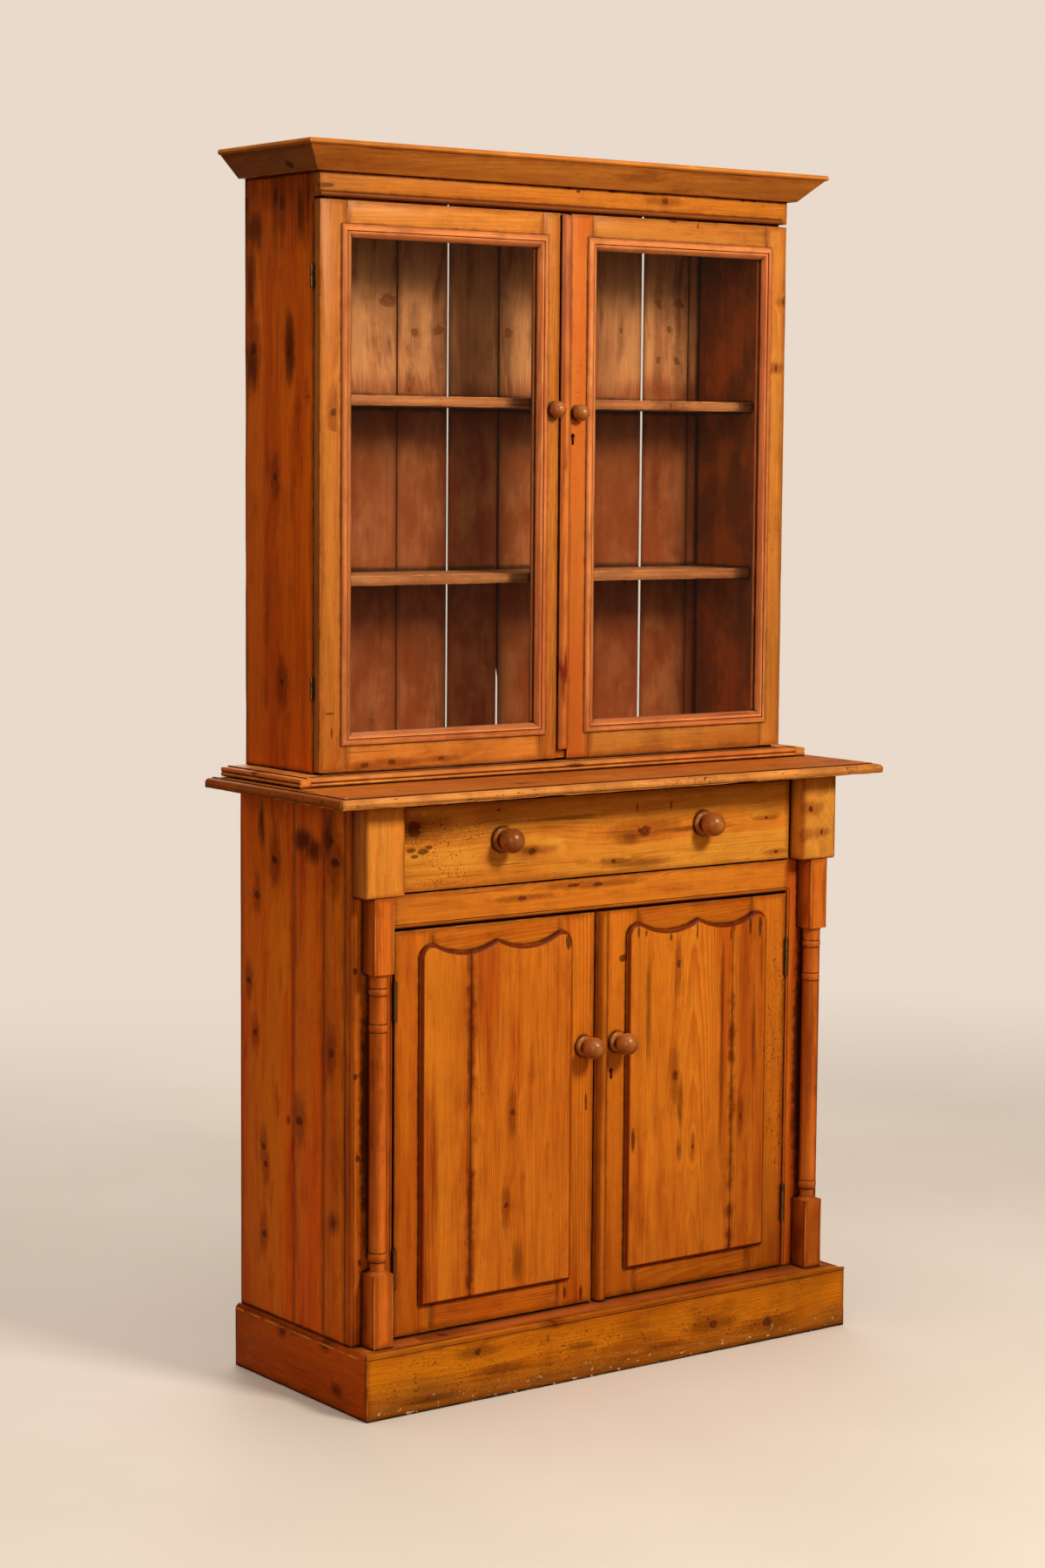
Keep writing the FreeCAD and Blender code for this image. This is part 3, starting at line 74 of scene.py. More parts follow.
class Shade:
    """A socket of a material. Sums on it add Math nodes, and node() adds any other kind."""

    def __init__(self, tree, socket=None):
        self.tree = tree
        self.socket = socket

    def node(self, kind, settings=(), inputs=(), output=0):
        """Adds a node with its settings and inputs, and gives the outputs that are asked for."""
        made = self.tree.nodes.new("ShaderNode" + kind)
        for name, value in dict(settings).items():
            if name == "stops":
                while len(made.color_ramp.elements) < len(value):
                    made.color_ramp.elements.new(0.5)
                for element, (place, colour) in zip(made.color_ramp.elements, value):
                    element.position = place
                    element.color = colour
            else:
                setattr(made, name, value)
        for name, value in dict(inputs).items():
            if isinstance(value, Shade):
                self.tree.links.new(value.socket, made.inputs[name])
            else:
                made.inputs[name].default_value = value
        if isinstance(output, tuple):
            return [Shade(self.tree, made.outputs[index]) for index in output]
        return Shade(self.tree, made.outputs[output] if made.outputs else None)

    def maths(self, operation, *others):
        return self.node("Math", {"operation": operation}, enumerate((self, *others)))

    def __add__(self, other):
        return self.maths("ADD", other)

    __radd__ = __add__

    def __sub__(self, other):
        return self.maths("SUBTRACT", other)

    def __rsub__(self, other):
        return self.node("Math", {"operation": "SUBTRACT"}, {0: other, 1: self})

    def __mul__(self, other):
        return self.maths("MULTIPLY", other)

    __rmul__ = __mul__

    def __truediv__(self, other):
        return self.maths("DIVIDE", other)

    def vector(self, operation, *others):
        """Vector Math on this vector. Its length is a number, and the rest are vectors."""
        return self.node("VectorMath", {"operation": operation}, enumerate((self, *others)),
                         "Value" if operation == "LENGTH" else "Vector")

    def noise(self, scale, detail=2, roughness=0.5):
        """Noise at this vector, with its lumps per metre on each axis."""
        return self.node("TexNoise", {}, {"Vector": self.vector("MULTIPLY", scale), "Scale": 1.0,
                                          "Detail": detail, "Roughness": roughness})

    def step(self, low, high):
        """0 at low and 1 at high, smooth between them; low may be the larger."""
        return self.node("MapRange", {"interpolation_type": "SMOOTHSTEP"},
                         {"Value": self, "From Min": low, "From Max": high})

    def split(self):
        return self.node("SeparateXYZ", {}, {0: self}, ("X", "Y", "Z"))

    def near(self, spots, stretch=(1, 1, 1)):
        """How far this place is from the nearest spot, in spot radii. A spot is a place with its
        radius across and its radius up and down, in metres; stretch below 1 draws it out."""
        nearest = None
        for x, y, z, wide, high in spots:
            scale = [share / size for share, size in zip(stretch, (wide, wide, high))]
            shift = [-share * value for share, value in zip(scale, (x, y, z))]
            far = self.vector("MULTIPLY_ADD", scale, shift).vector("LENGTH")
            nearest = far if nearest is None else nearest.maths("MINIMUM", far)
        return nearest

    def between(self, colour, other):
        """The first colour where this is 0, and the other where it is 1."""
        return self.node("Mix", {"data_type": "RGBA"},
                         {MIX_SHARE: self, MIX_FROM: colour, MIX_TO: other}, MIX_COLOUR)

    def blend(self, colour, share):
        """This colour mixed towards another by a share."""
        return share.between(self, colour)

    def times(self, colour):
        """This colour darkened or lightened by another."""
        return self.node("Mix", {"data_type": "RGBA", "blend_type": "MULTIPLY"},
                         {MIX_SHARE: 1.0, MIX_FROM: self, MIX_TO: colour}, MIX_COLOUR)

    def bump(self, strength, depth):
        """This height as a normal, with the depth of its relief in metres."""
        return self.node("Bump", {}, {"Strength": strength, "Distance": depth, "Height": self})


def new_material(name):
    """An empty material, the shade that adds its nodes, and the place on the piece."""
    material = bpy.data.materials.new(name)
    material.use_nodes = True
    material.node_tree.nodes.clear()
    shade = Shade(material.node_tree)
    return material, shade, shade.node("TexCoord", output="Object")


def principled(shade, inputs):
    """The surface's shader. What is the same all over is set on its own socket."""
    surface = shade.node("BsdfPrincipled", {}, inputs)
    shade.node("OutputMaterial", {}, {"Surface": surface})


FLOOR_TONES = [(0.3, srgb(214, 205, 193)), (0.7, srgb(222, 213, 202))]
FLOOR_BOUNCE = srgb(150, 112, 74)
FADE_START, FADE_END = 1.4, 4.2


def floor_material():
    """A pale floor that fades out into the backdrop. What it throws back on the cupboard is
    browner than the floor looks, as from old boards."""
    material, shade, place = new_material("pale_floor")
    mottle = place.noise((1.3, 1.3, 1.3), 4)
    speck = place.noise((70, 70, 70))
    colour = shade.node("ValToRGB", {"stops": FLOOR_TONES}, {0: mottle})
    looked_at, through_glass, scattered, mirrored = shade.node("LightPath", output=(
        "Is Camera Ray", "Is Transmission Ray", "Diffuse Depth", "Glossy Depth"))
    seen = looked_at + through_glass - scattered - mirrored
    colour = seen.between(FLOOR_BOUNCE, colour)
    surface = shade.node("BsdfPrincipled", {},
                         {"Base Color": colour, "Roughness": 0.55 + speck * 0.1})
    away = place.vector("LENGTH")
    gone = shade.node("BsdfTransparent")
    mixed = shade.node("MixShader", {}, {0: away.step(FADE_START, FADE_END), 1: surface, 2: gone})
    shade.node("OutputMaterial", {}, {"Surface": mixed})
    return material


bpy.ops.object.select_all(action="DESELECT")
bpy.ops.mesh.primitive_plane_add(size=30, location=(0, 0, 0))
floor = bpy.context.object
floor.name = "studio_floor"
floor.data.materials.append(floor_material())

# The backdrop shows only to the camera and through the panes. Whatever the wood or the glass
# mirrors, and what lights them from all round, is the dim ambient light.
BACKDROP = srgb(233, 218, 203)
AMBIENT = {"Color": srgb(214, 180, 150), "Strength": 0.14}
world = bpy.data.worlds.new("studio")
bpy.context.scene.world = world
world.use_nodes = True
world.node_tree.nodes.clear()
air = Shade(world.node_tree)
backdrop = air.node("Background", {}, {"Color": BACKDROP})
ambient = air.node("Background", {}, AMBIENT)
reflected, scattered, mirrored = air.node("LightPath", output=(
    "Is Reflection Ray", "Diffuse Depth", "Glossy Depth"))
bounced = reflected + scattered + mirrored
surroundings = air.node("MixShader", {}, {0: bounced, 1: backdrop, 2: ambient})
air.node("OutputWorld", {}, {"Surface": surroundings})
bpy.context.scene.view_settings.view_transform = "Standard"

for name, place, aim, size, power, tint in (
    ("key_light", (0.45, -2.7, 2.95), (0, 0, 1.1), 0.75, 100, (1.0, 0.93, 0.84)),
    ("fill_light", (-3.6, -3.2, 2.2), (0, 0, 1.1), 2.4, 57, (1.0, 0.82, 0.66)),
    ("top_light", (0.0, 0.6, 4.8), (0, 0.6, 0), 5.0, 190, (1.0, 0.95, 0.89)),
    ("back_light", (1.8, 4.6, 2.3), (0, 0, 1.1), 3.0, 55, (1.0, 0.93, 0.84)),
):
    light = bpy.data.lights.new(name, "AREA")
    light.size = size
    light.energy = power
    light.color = tint
    lamp = bpy.data.objects.new(name, light)
    lamp.location = place
    lamp.rotation_euler = (Vector(aim) - Vector(place)).to_track_quat("-Z", "Y").to_euler()
    lamp.visible_camera = lamp.visible_transmission = False
    bpy.context.scene.collection.objects.link(lamp)

CAMERA_PLACE = (-3.3624, -4.4825, 1.5982)
CAMERA_TURN, CAMERA_TILT, CAMERA_ROLL = (math.radians(a) for a in (-36.300, 5.949, 0.437))
SENSOR_MM, LENS_MM = 36, 73.26
forward = Vector((-math.sin(CAMERA_TURN) * math.cos(CAMERA_TILT),
                  math.cos(CAMERA_TURN) * math.cos(CAMERA_TILT), -math.sin(CAMERA_TILT)))
level = Vector((math.cos(CAMERA_TURN), math.sin(CAMERA_TURN), 0))
upward = level.cross(forward)
right = math.cos(CAMERA_ROLL) * level + math.sin(CAMERA_ROLL) * upward
upward = right.cross(forward)
lens = bpy.data.cameras.new("camera")
lens.sensor_fit = "VERTICAL"
lens.sensor_height = SENSOR_MM
lens.lens = LENS_MM
camera = bpy.data.objects.new("camera", lens)
turn = Matrix((right, upward, -forward)).transposed()
camera.matrix_world = Matrix.Translation(CAMERA_PLACE) @ turn.to_4x4()
bpy.context.scene.collection.objects.link(camera)
bpy.context.scene.camera = camera

# ---------------------------------------- sides of the lower case
# Three upright pine boards glued edge to edge on each side, shellacked and waxed, with old knots
# and the dirt of years in the joints. They are housed for the floor and the shelf.


def solids_of(node):
    """The solids of a node, as lists of triangles: each ends where its last open edge closes."""
    mesh = frame["nodes"][node].data
    places = [tuple(vertex.co) for vertex in mesh.vertices]
    solids, triangles, open_edges = [], [], set()
    for face in mesh.polygons:
        corners = [places[index] for index in face.vertices]
        triangles.append(corners)
        for start, end in zip(corners, corners[1:] + corners[:1]):
            if (end, start) in open_edges:
                open_edges.remove((end, start))
            else:
                open_edges.add((start, end))
        if not open_edges:
            solids.append(triangles)
            triangles = []
    return solids


def select_only(piece):
    bpy.ops.object.select_all(action="DESELECT")
    piece.select_set(True)
    bpy.context.view_layer.objects.active = piece


def narrowness(face):
    return face.calc_area() / max(edge.calc_length() for edge in face.edges)


SHARP, SHORTEST_ARRIS = 0.7, 0.011
NARROWEST_FACE, NARROWEST_ROUND = 3.2, 1.2
MOST_CUTS = 9


def ease_arrises(piece, width, wear, pitch):
    """Rounds the plain outer corners of the boards, then wears them unevenly, as use leaves them.
    Corners beside a face of less than a few widths stay sharp; pitch is the length between the
    points that wear can move."""
    select_only(piece)
    bpy.ops.object.mode_set(mode="EDIT")
    bpy.ops.mesh.select_mode(type="EDGE")
    bpy.ops.mesh.select_all(action="DESELECT")
    mesh = bmesh.from_edit_mesh(piece.data)
    for edge in mesh.edges:
        if len(edge.link_faces) == 2 and edge.is_convex and edge.calc_face_angle() > SHARP:
            if edge.calc_length() > SHORTEST_ARRIS:
                if min(narrowness(face) for face in edge.link_faces) > NARROWEST_FACE * width:
                    edge.select = True
    bmesh.update_edit_mesh(piece.data)
    bpy.ops.mesh.bevel(offset=width, segments=2, affect="EDGES", loop_slide=False,
                       clamp_overlap=False)
    mesh = bmesh.from_edit_mesh(piece.data)
    rounded = [face.index for face in mesh.faces
               if face.select and narrowness(face) < NARROWEST_ROUND * width]
    layer = mesh.faces.layers.float.new("arris")
    mesh.faces.ensure_lookup_table()
    for index in rounded:
        mesh.faces[index][layer] = 1.0
    for _ in range(MOST_CUTS):
        mesh = bmesh.from_edit_mesh(piece.data)
        layer = mesh.faces.layers.float["arris"]
        bpy.ops.mesh.select_all(action="DESELECT")
        found = False
        for face in mesh.faces:
            if face[layer]:
                for edge in face.edges:
                    if edge.calc_length() > pitch:
                        edge.select = found = True
        if not found:
            break
        bmesh.update_edit_mesh(piece.data)
        bpy.ops.mesh.subdivide(number_cuts=1, ngon=True)
    mesh = bmesh.from_edit_mesh(piece.data)
    layer = mesh.faces.layers.float["arris"]
    mesh.normal_update()
    for vertex in {vertex for face in mesh.faces if face[layer] for vertex in face.verts}:
        rub = noise.noise(vertex.co * 23) + 0.6 * noise.noise(vertex.co * 61)
        knock = min(0.5, max(0.0, noise.noise(vertex.co * 13 + Vector((7, 3, 5))) - 0.3) * 2.5)
        vertex.co -= vertex.normal * width * min(0.75, wear * (max(0.0, rub) * 0.35 + knock))
    bmesh.update_edit_mesh(piece.data)
    bpy.ops.object.mode_set(mode="OBJECT")


def mark_grain(piece, solid_of_vertex, seams=(), along=None):
    """Marks what the finish reads: each corner's place in its own board (along the grain, across
    it, through it), half that board's sizes, three numbers of its own for each board, and how far
    each face is turned away from the flat faces of a board."""
    mesh = piece.data
    luck = random.Random(piece.name)
    lows, highs = {}, {}
    for vertex in mesh.vertices:
        solid = solid_of_vertex[vertex.index]
        low = lows.setdefault(solid, [9.0] * 3)
        high = highs.setdefault(solid, [-9.0] * 3)
        for axis in range(3):
            low[axis] = min(low[axis], vertex.co[axis])
            high[axis] = max(high[axis], vertex.co[axis])
    orders, numbers = {}, {}
    for solid in sorted(lows):
        sizes = [high - low for low, high in zip(lows[solid], highs[solid])]
        order = sorted(range(3), key=lambda axis: -sizes[axis])
        if along is not None:
            order = [along] + [axis for axis in order if axis != along]
        orders[solid] = order
        for part in range(len(seams) + 1):
            numbers[solid, part] = [luck.random() for _ in range(3)]
    values = {name: [] for name in ("grain", "board", "half")}
    moulded = []
    for face in mesh.polygons:
        solid = solid_of_vertex[face.vertices[0]]
        part = sum(face.center.x > seam for seam in seams)
        low, high, order = lows[solid], highs[solid], orders[solid]
        moulded.append(1 - max(abs(share) for share in face.normal))
        for index in face.vertices:
            place = mesh.vertices[index].co
            values["grain"] += [place[axis] - (low[axis] + high[axis]) / 2 for axis in order]
            values["half"] += [(high[axis] - low[axis]) / 2 for axis in order]
            values["board"] += numbers[solid, part]
    for name, numbers_of_corners in values.items():
        layer = mesh.attributes.new(name, "FLOAT_VECTOR", "CORNER")
        layer.data.foreach_set("vector", numbers_of_corners)
    mesh.attributes.new("moulded", "FLOAT", "FACE").data.foreach_set("value", moulded)


def islands(mesh):
    """The number of the connected piece that each vertex belongs to."""
    parent = list(range(len(mesh.vertices)))

    def top(index):
        while parent[index] != index:
            parent[index] = parent[parent[index]]
            index = parent[index]
        return index

    for edge in mesh.edges:
        first, second = (top(index) for index in edge.vertices)
        if first != second:
            parent[max(first, second)] = min(first, second)
    return [top(index) for index in range(len(mesh.vertices))]


FLAT = math.radians(0.4)


def boards(node, finish, eased=0.0011, wear=1.0, seams=(), cuts=(), pitch=0.034):
    """The boards of a node with eased corners and their own grain, in the node's place. A board has
    glue joints at seams, and its flat faces are cut through at cuts, so that holes lie at an
    edge."""
    index, faces = {}, []
    for number, triangles in enumerate(solids_of(node)):
        for corners in triangles:
            faces.append([index.setdefault((number, corner), len(index)) for corner in corners])
    mesh = bpy.data.meshes.new(f"{node}_boards")
    mesh.from_pydata([place for _, place in index], [], faces)
    piece = bpy.data.objects.new(f"{node}_boards", mesh)
    bpy.context.scene.collection.objects.link(piece)
    select_only(piece)
    bpy.ops.object.mode_set(mode="EDIT")
    for cut in (*seams, *cuts):
        bpy.ops.mesh.select_all(action="SELECT")
        bpy.ops.mesh.bisect(plane_co=(cut, 0, 0), plane_no=(1, 0, 0))
        bpy.ops.mesh.mark_seam()
    bpy.ops.mesh.select_all(action="SELECT")
    bpy.ops.mesh.dissolve_limited(angle_limit=FLAT, delimit={"SEAM"})
    bpy.ops.object.mode_set(mode="OBJECT")
    if eased:
        ease_arrises(piece, eased, wear, pitch)
    mark_grain(piece, islands(mesh), seams)
    return finished(piece, node, finish)


def finished(piece, node, finish, smooth=25):
    """Puts a piece with its finish in its node's place, on the node's body. It is shaded smooth
    where it turns by fewer degrees than smooth."""
    select_only(piece)
    bpy.ops.object.shade_smooth_by_angle(angle=math.radians(smooth))
    piece.data.materials.append(finish)
    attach(piece, frame["nodes"][node]["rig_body"])
    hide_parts(node)
    for row in frame["record"]["materials"]:
        node in row.get("nodes", ())
    return piece


# Soot darkens dirt, knots, cracks and marks, and also paints shade in corners and quirks; the worn
# pale also paints highlights on arrises; the soaked stain also paints shadow by pilasters.
SOOT_AND_SHADE = srgb(46, 18, 7)
RUBBED_AND_HIGHLIGHT = srgb(236, 160, 76)
SOAKED_AND_SHADOW = srgb(84, 28, 6)
HEART_RING, HEARTWOOD = srgb(78, 30, 10), srgb(120, 50, 16)
OLD_PAINT = srgb(214, 190, 150)
SHELLAC = srgb(255, 206, 140)
UPRIGHT, LYING = (1, 1, 0.3), (0.3, 1, 1)
BOARDS_APART = (31.0, 57.0, 43.0)
KNOTS_PER_METRE = (3.1, 6.4, 0.0)
KNOT_SQUEEZE, KNOT_TAIL = 0.78, 0.3
SMALLEST_KNOT, KNOT_RANGE, NO_KNOT = 0.003, 0.0065, 0.0001


def pine(name, pale, deep, stain, knots=(), marks=(), rubs=(), soaks_and_shadows=(), crackled=(), tides=(),
         seams=(), lie=UPRIGHT, ring=0.0036, loose_knots=0.2, knotty=0.9, flame=0.6, blotch=0.5,
         soaked_and_shadow=0.62, cracks=0.25, ticks=0.6, rim=1.0, mould=0.35, grime_and_shade=1.0, nook=0.0065,
         wear=1.0, gloss=0.42, coat=0.06, contrast=1.0, flecks=False):
    """Old pine under shellac and wax. pale and deep are the wood between and on its year rings and
    flames, stain the darkest streaks. knots, marks (dark, in places painted shade), rubs (worn
    pale, also painted highlight), soaks (soft dark patches, in places painted shadow) and crackled
    are spots that are known, and lie is the way the grain runs there. A tide turns the colour to
    another along an axis: the axis, where it starts and is full, how far its border strays, its
    colour and its share; some tides are painted shade. ring is the width of a year ring and nook
    the width of the darkening in a corner, which is dirt and painted shade, in metres, and the
    other numbers are shares."""
    material, shade, place = new_material(name)
    grain, half, own = (shade.node("Attribute", {"attribute_name": read}, output="Vector")
                        for read in ("grain", "half", "board"))
    arris, moulded = (shade.node("Attribute", {"attribute_name": read}, output="Fac")
                      for read in ("arris", "moulded"))
    moulded = moulded.step(0.01, 0.12)
    luck, luck_too, luck_three = own.split()

    # wood runs along, across and through a board, far from the next board's wood; place is where
    # the piece is. Noise on wood follows the grain, and noise on place is what lies on top of it.
    wood = own.vector("MULTIPLY_ADD", BOARDS_APART, grain)
    mottle = place.noise((15, 15, 10), 4, 0.62)
    cloud = place.noise((3.1, 3.1, 2), 4, 0.6)
    crumb = place.noise((160, 160, 160))
    pebble = place.noise((52, 52, 52))

    # Knots: a few by chance, and those that are known. The grain swings round them.
    scattered = wood.vector("MULTIPLY", KNOTS_PER_METRE)
    cell_luck, cell_place = shade.node(
        "TexVoronoi", {"voronoi_dimensions": "2D"},
        {"Vector": scattered, "Scale": 1.0, "Randomness": 0.9}, ("Color", "Position"))
    chance, girth, _ = cell_luck.split()
    away = scattered.vector("SUBTRACT", cell_place)
    away = away.vector("MULTIPLY", (KNOT_SQUEEZE / KNOTS_PER_METRE[0], 1 / KNOTS_PER_METRE[1], 0.0))
    reach = away.vector("LENGTH")
    radius = (SMALLEST_KNOT + girth * KNOT_RANGE
              - chance.step(loose_knots, loose_knots + 0.002) * 0.05)
    radius = radius.maths("MAXIMUM", NO_KNOT)
    drawn = away.vector("MULTIPLY", (KNOT_TAIL, 1.0, 0.0))
    knot = reach / radius
    swirl = drawn.vector("LENGTH") / radius
    if knots:
        knot = knot.maths("MINIMUM", place.near(knots))
        swirl = swirl.maths("MINIMUM", place.near(knots, lie))
    ragged = (crumb - 0.5) * 0.9 + (pebble - 0.5) * 1.9
    knot = knot + ragged
    core = knot.step(1.1, 0.8)
    skin = core * knot.step(0.45, 0.8)
    halo = (swirl + ragged * 0.8).step(2.7, 0.9)
    swing = swirl.step(5.0, 0.6)

    # Year rings of a flat-sawn board: circles about a heart below its face, a little aslant.
    along, across, through = grain.split()
    drift = wood.noise((0.9, 3.4, 3.4)) - 0.5
    ripple = wood.noise((7, 36, 36), 3) - 0.5
    sideways = across + (luck - 0.5) * 0.14 + drift * 0.06
    inwards = through + 0.016 + luck_too * 0.05 + along * (luck_three - 0.5) * 0.09 + drift * 0.02
    year_ray = shade.node("CombineXYZ", {}, {0: sideways, 1: inwards})
    year_ring = year_ray.vector("LENGTH") + ripple * 0.0026 + swing * 0.007
    year = (year_ring / (ring * (0.8 + luck * 0.6))).maths("FRACT")
    late = year.step(0.1, 0.88) * year.step(1.0, 0.92)
    late = late * (0.25 + wood.noise((0.6, 24, 24)).step(0.32, 0.7) * 0.75)

    # Flames and streaks that the stain has found, and blotches of old finish.
    bent = shade.node("CombineXYZ", {}, {0: swing * 0.05, 1: swing * 0.016, 2: 0.0})
    swung = wood.vector("ADD", bent)
    tongue = swung.noise((1.3, 17, 17), 4, 0.62).step(0.44, 0.66)
    streak = swung.noise((3.6, 75, 75), 4, 0.7).step(0.5, 0.68)
    patch = swung.noise((4.5, 30, 30), 4, 0.65)
    fibre = swung.noise((24, 1300, 1300), 2, 0.6)
    thread = swung.noise((8, 330, 330), 3, 0.65)

    colour = (late * 0.6).between(pale, deep)
    colour = colour.blend(deep, tongue * flame)
    colour = colour.blend(stain, streak * (0.2 + tongue * 0.4) * flame)
    colour = colour.blend(stain, cloud.step(0.5, 0.74) * blotch * 0.7)
    colour = colour.blend(stain, (mottle * 0.4 + patch * 0.6).step(0.48, 0.68) * blotch)
    colour = colour.blend(stain, moulded * mould)
    tone = (0.9 + luck_three * 0.18 + (fibre - 0.5) * 0.45 * contrast
            + (thread - 0.5) * 0.55 * contrast + (patch - 0.5) * 0.6 * contrast
            + (pebble - 0.5) * 0.16 + (mottle - 0.5) * 0.35)
    grey = shade.node("CombineColor", {}, {0: tone, 1: tone, 2: tone})
    colour = colour.times(grey)
    # Some tides are stains; others are painted shade: side faces darker towards the back, dark
    # inner faces, and the shadow behind a pilaster.
    for axis, clear, full, stray, tide_and_shade_colour, share in tides:
        tide_and_shade = place.split()[axis] + ((cloud - 0.5) + (thread - 0.5) * 0.4) * stray
        tide_and_shade = tide_and_shade.step(clear, full)
        colour = colour.blend(tide_and_shade_colour, tide_and_shade * (0.72 + mottle.step(0.36, 0.6) * 0.28) * share)
    ringed = ((reach * 1100).maths("MINIMUM", knot * 9) + mottle * 4).maths("SINE") * 0.5 + 0.5
    heart = ringed.between(HEART_RING, HEARTWOOD)
    colour = colour.blend(stain, halo * 0.6 * knotty)
    colour = colour.blend(heart, core * knotty)
    colour = colour.blend(SOOT_AND_SHADE, skin * pebble.step(0.42, 0.6) * 0.7 * knotty)
    # Soaks are stains, and behind the pilasters painted shadow.
    if soaks_and_shadows:
        soak_and_shadow = (place.near(soaks_and_shadows) + (mottle - 0.5) * 1.8 + (thread - 0.5) * 1.4).step(1.5, 0.1)
        colour = colour.blend(SOAKED_AND_SHADOW, soak_and_shadow * soaked_and_shadow)
    # Marks are plugs, nails and stains, and in quirks and behind pilasters painted shade.
    if marks:
        mark_and_shade = (place.near(marks) + ragged * 0.6).step(1.25, 0.75)
        colour = colour.blend(SOOT_AND_SHADE, mark_and_shade * 0.76)
    pit_luck, pit_far = shade.node("TexVoronoi", {}, {"Vector": place, "Scale": 34.0},
                                   ("Color", "Distance"))
    pit = pit_far.step(0.045, 0.03) * pit_luck.split()[0].step(0.24, 0.2)
    tick = swung.noise((62, 430, 430)).step(0.67, 0.71) * mottle.step(0.42, 0.56)
    colour = colour.blend(SOOT_AND_SHADE, pit.maths("MAXIMUM", tick * ticks) * 0.75)

    # Drying checks along the grain, and the crackle of old shellac across it.
    check = wood.noise((4.5, 290, 290)).step(0.69, 0.74)
    check = check * place.noise((3.4, 3.4, 3.4)).step(0.48, 0.58)
    stretched = wood.vector("MULTIPLY", (95.0, 150.0, 150.0))
    wander = shade.node("TexNoise", {}, {"Vector": place, "Scale": 90.0}, "Color")
    warped = stretched.vector("ADD", wander)
    crazed = shade.node("TexVoronoi", {"feature": "DISTANCE_TO_EDGE"},
                        {"Vector": warped, "Scale": 1.0})
    crazed = crazed.step(0.06, 0.02) * pebble.step(0.4, 0.55)
    crazed = crazed * place.noise((190, 190, 190), 1).step(0.48, 0.56)
    where = place.noise((7, 7, 5), 3).step(0.56, 0.66) * cracks
    if crackled:
        where = where.maths("MAXIMUM", (place.near(crackled) + (cloud - 0.5) * 2.0).step(1.15, 0.7))
    crazed = crazed * where
    groove = (check * 0.8).maths("MAXIMUM", crazed)
    if seams:
        x, _, _ = place.split()
        for seam in seams:
            line_of_glue = (x - seam + (thread - 0.5) * 0.003).maths("ABSOLUTE")
            stained = (line_of_glue + (pebble - 0.5) * 0.02).step(0.013, 0.0)
            colour = colour.blend(stain, stained * mottle.step(0.36, 0.54) * 0.85)
            groove = groove.maths("MAXIMUM", line_of_glue.step(0.0014, 0.0005))
    if rim:
        # The nearest border of the board's face is the middle one of the three distances.
        far_along, far_across, far_through = (
            size - side.maths("ABSOLUTE")
            for size, side in zip(half.split(), (along, across, through)))
        less = far_along.maths("MINIMUM", far_across)
        more = far_along.maths("MAXIMUM", far_across)
        edge = less.maths("MAXIMUM", more.maths("MINIMUM", far_through))
        fringe = (edge + (mottle - 0.5) * 0.022).step(0.012, 0.001)
        colour = colour.blend(stain, fringe * 0.45 * rim)
    colour = colour.blend(SOOT_AND_SHADE, groove * 0.82)

    # Corners and recesses are darkened by how enclosed they are: dirt that the polishing
    # cloth doesn't reach, and painted shade. Open arrises are rubbed pale, which is also a
    # painted highlight.
    shelter = shade.node("AmbientOcclusion", {"samples": 8}, {"Distance": nook}, "AO")
    dirt_and_shade = (shelter + (pebble - 0.5) * 0.3).step(0.94, 0.64) * grime_and_shade
    colour = colour.blend(SOOT_AND_SHADE, (dirt_and_shade * 0.88).maths("MINIMUM", 0.94))
    rubbed_and_highlit = arris * place.noise((34, 34, 34), 3).step(0.38, 0.62) * (1 - dirt_and_shade) * wear
    colour = colour.blend(RUBBED_AND_HIGHLIGHT, rubbed_and_highlit * 0.42)
    # Known rubs are painted pale, as wear and as highlight.
    if rubs:
        rub = (place.near(rubs) + ragged * 0.5).step(1.2, 0.6)
        colour = colour.blend(RUBBED_AND_HIGHLIGHT, rub * 0.6)
    if flecks:
        _, _, up = place.split()
        paint = place.noise((95, 95, 130), 3).step(0.64, 0.66) * up.step(0.05, 0.008)
        colour = colour.blend(OLD_PAINT, paint * 0.85)

    rough = gloss + (mottle - 0.5) * 0.25 + dirt_and_shade * 0.2 + core * 0.08 + rubbed_and_highlit * 0.12 + groove * 0.2
    rolling = wood.noise((5, 16, 16))
    height = (fibre * 0.16 + thread * 0.3 + late * 0.35 - groove * 1.5 - pit * 1.5 + core * 0.45
              + mottle * 0.5 + rolling * 1.8)
    principled(shade, {"Base Color": colour, "Roughness": rough,
                       "Normal": height.bump(0.4, 0.0009), "Coat Weight": coat,
                       "Coat Roughness": 0.3, "Specular IOR Level": 0.2,
                       "Specular Tint": SHELLAC})
    return material


def on_side(face, spots):
    """Spots on a face that looks sideways: each has its y and z, and its radii in millimetres."""
    return tuple((face, y, z, wide / 1000, high / 1000) for y, z, wide, high in spots)


CASE_SIDE = -0.515
LOWER_SIDE_KNOTS = on_side(CASE_SIDE, (
    (0.162, 0.838, 7.1, 6), (0.188, 0.686, 7.2, 6.1), (0.168, 0.598, 7.2, 5.3),
    (0.14, 0.402, 7.1, 6.1), (0.134, 0.373, 7.1, 6.1), (0.14, 0.249, 7.2, 6.2),
    (0.104, 0.905, 9.8, 7.5), (-0.084, 0.92, 13.2, 8.7), (-0.075, 0.599, 8, 7.4),
    (0.025, 0.467, 11, 7.5),
))
LOWER_SIDE_SOAKS = on_side(CASE_SIDE, (
    (0.013, 0.948, 35.2, 17.7), (-0.018, 0.935, 26.9, 20.5), (-0.082, 0.312, 16, 20.8),
    (-0.061, 0.962, 15.9, 32), (0.147, 0.97, 11.3, 37.5), (0.061, 0.463, 7, 9.1),
))
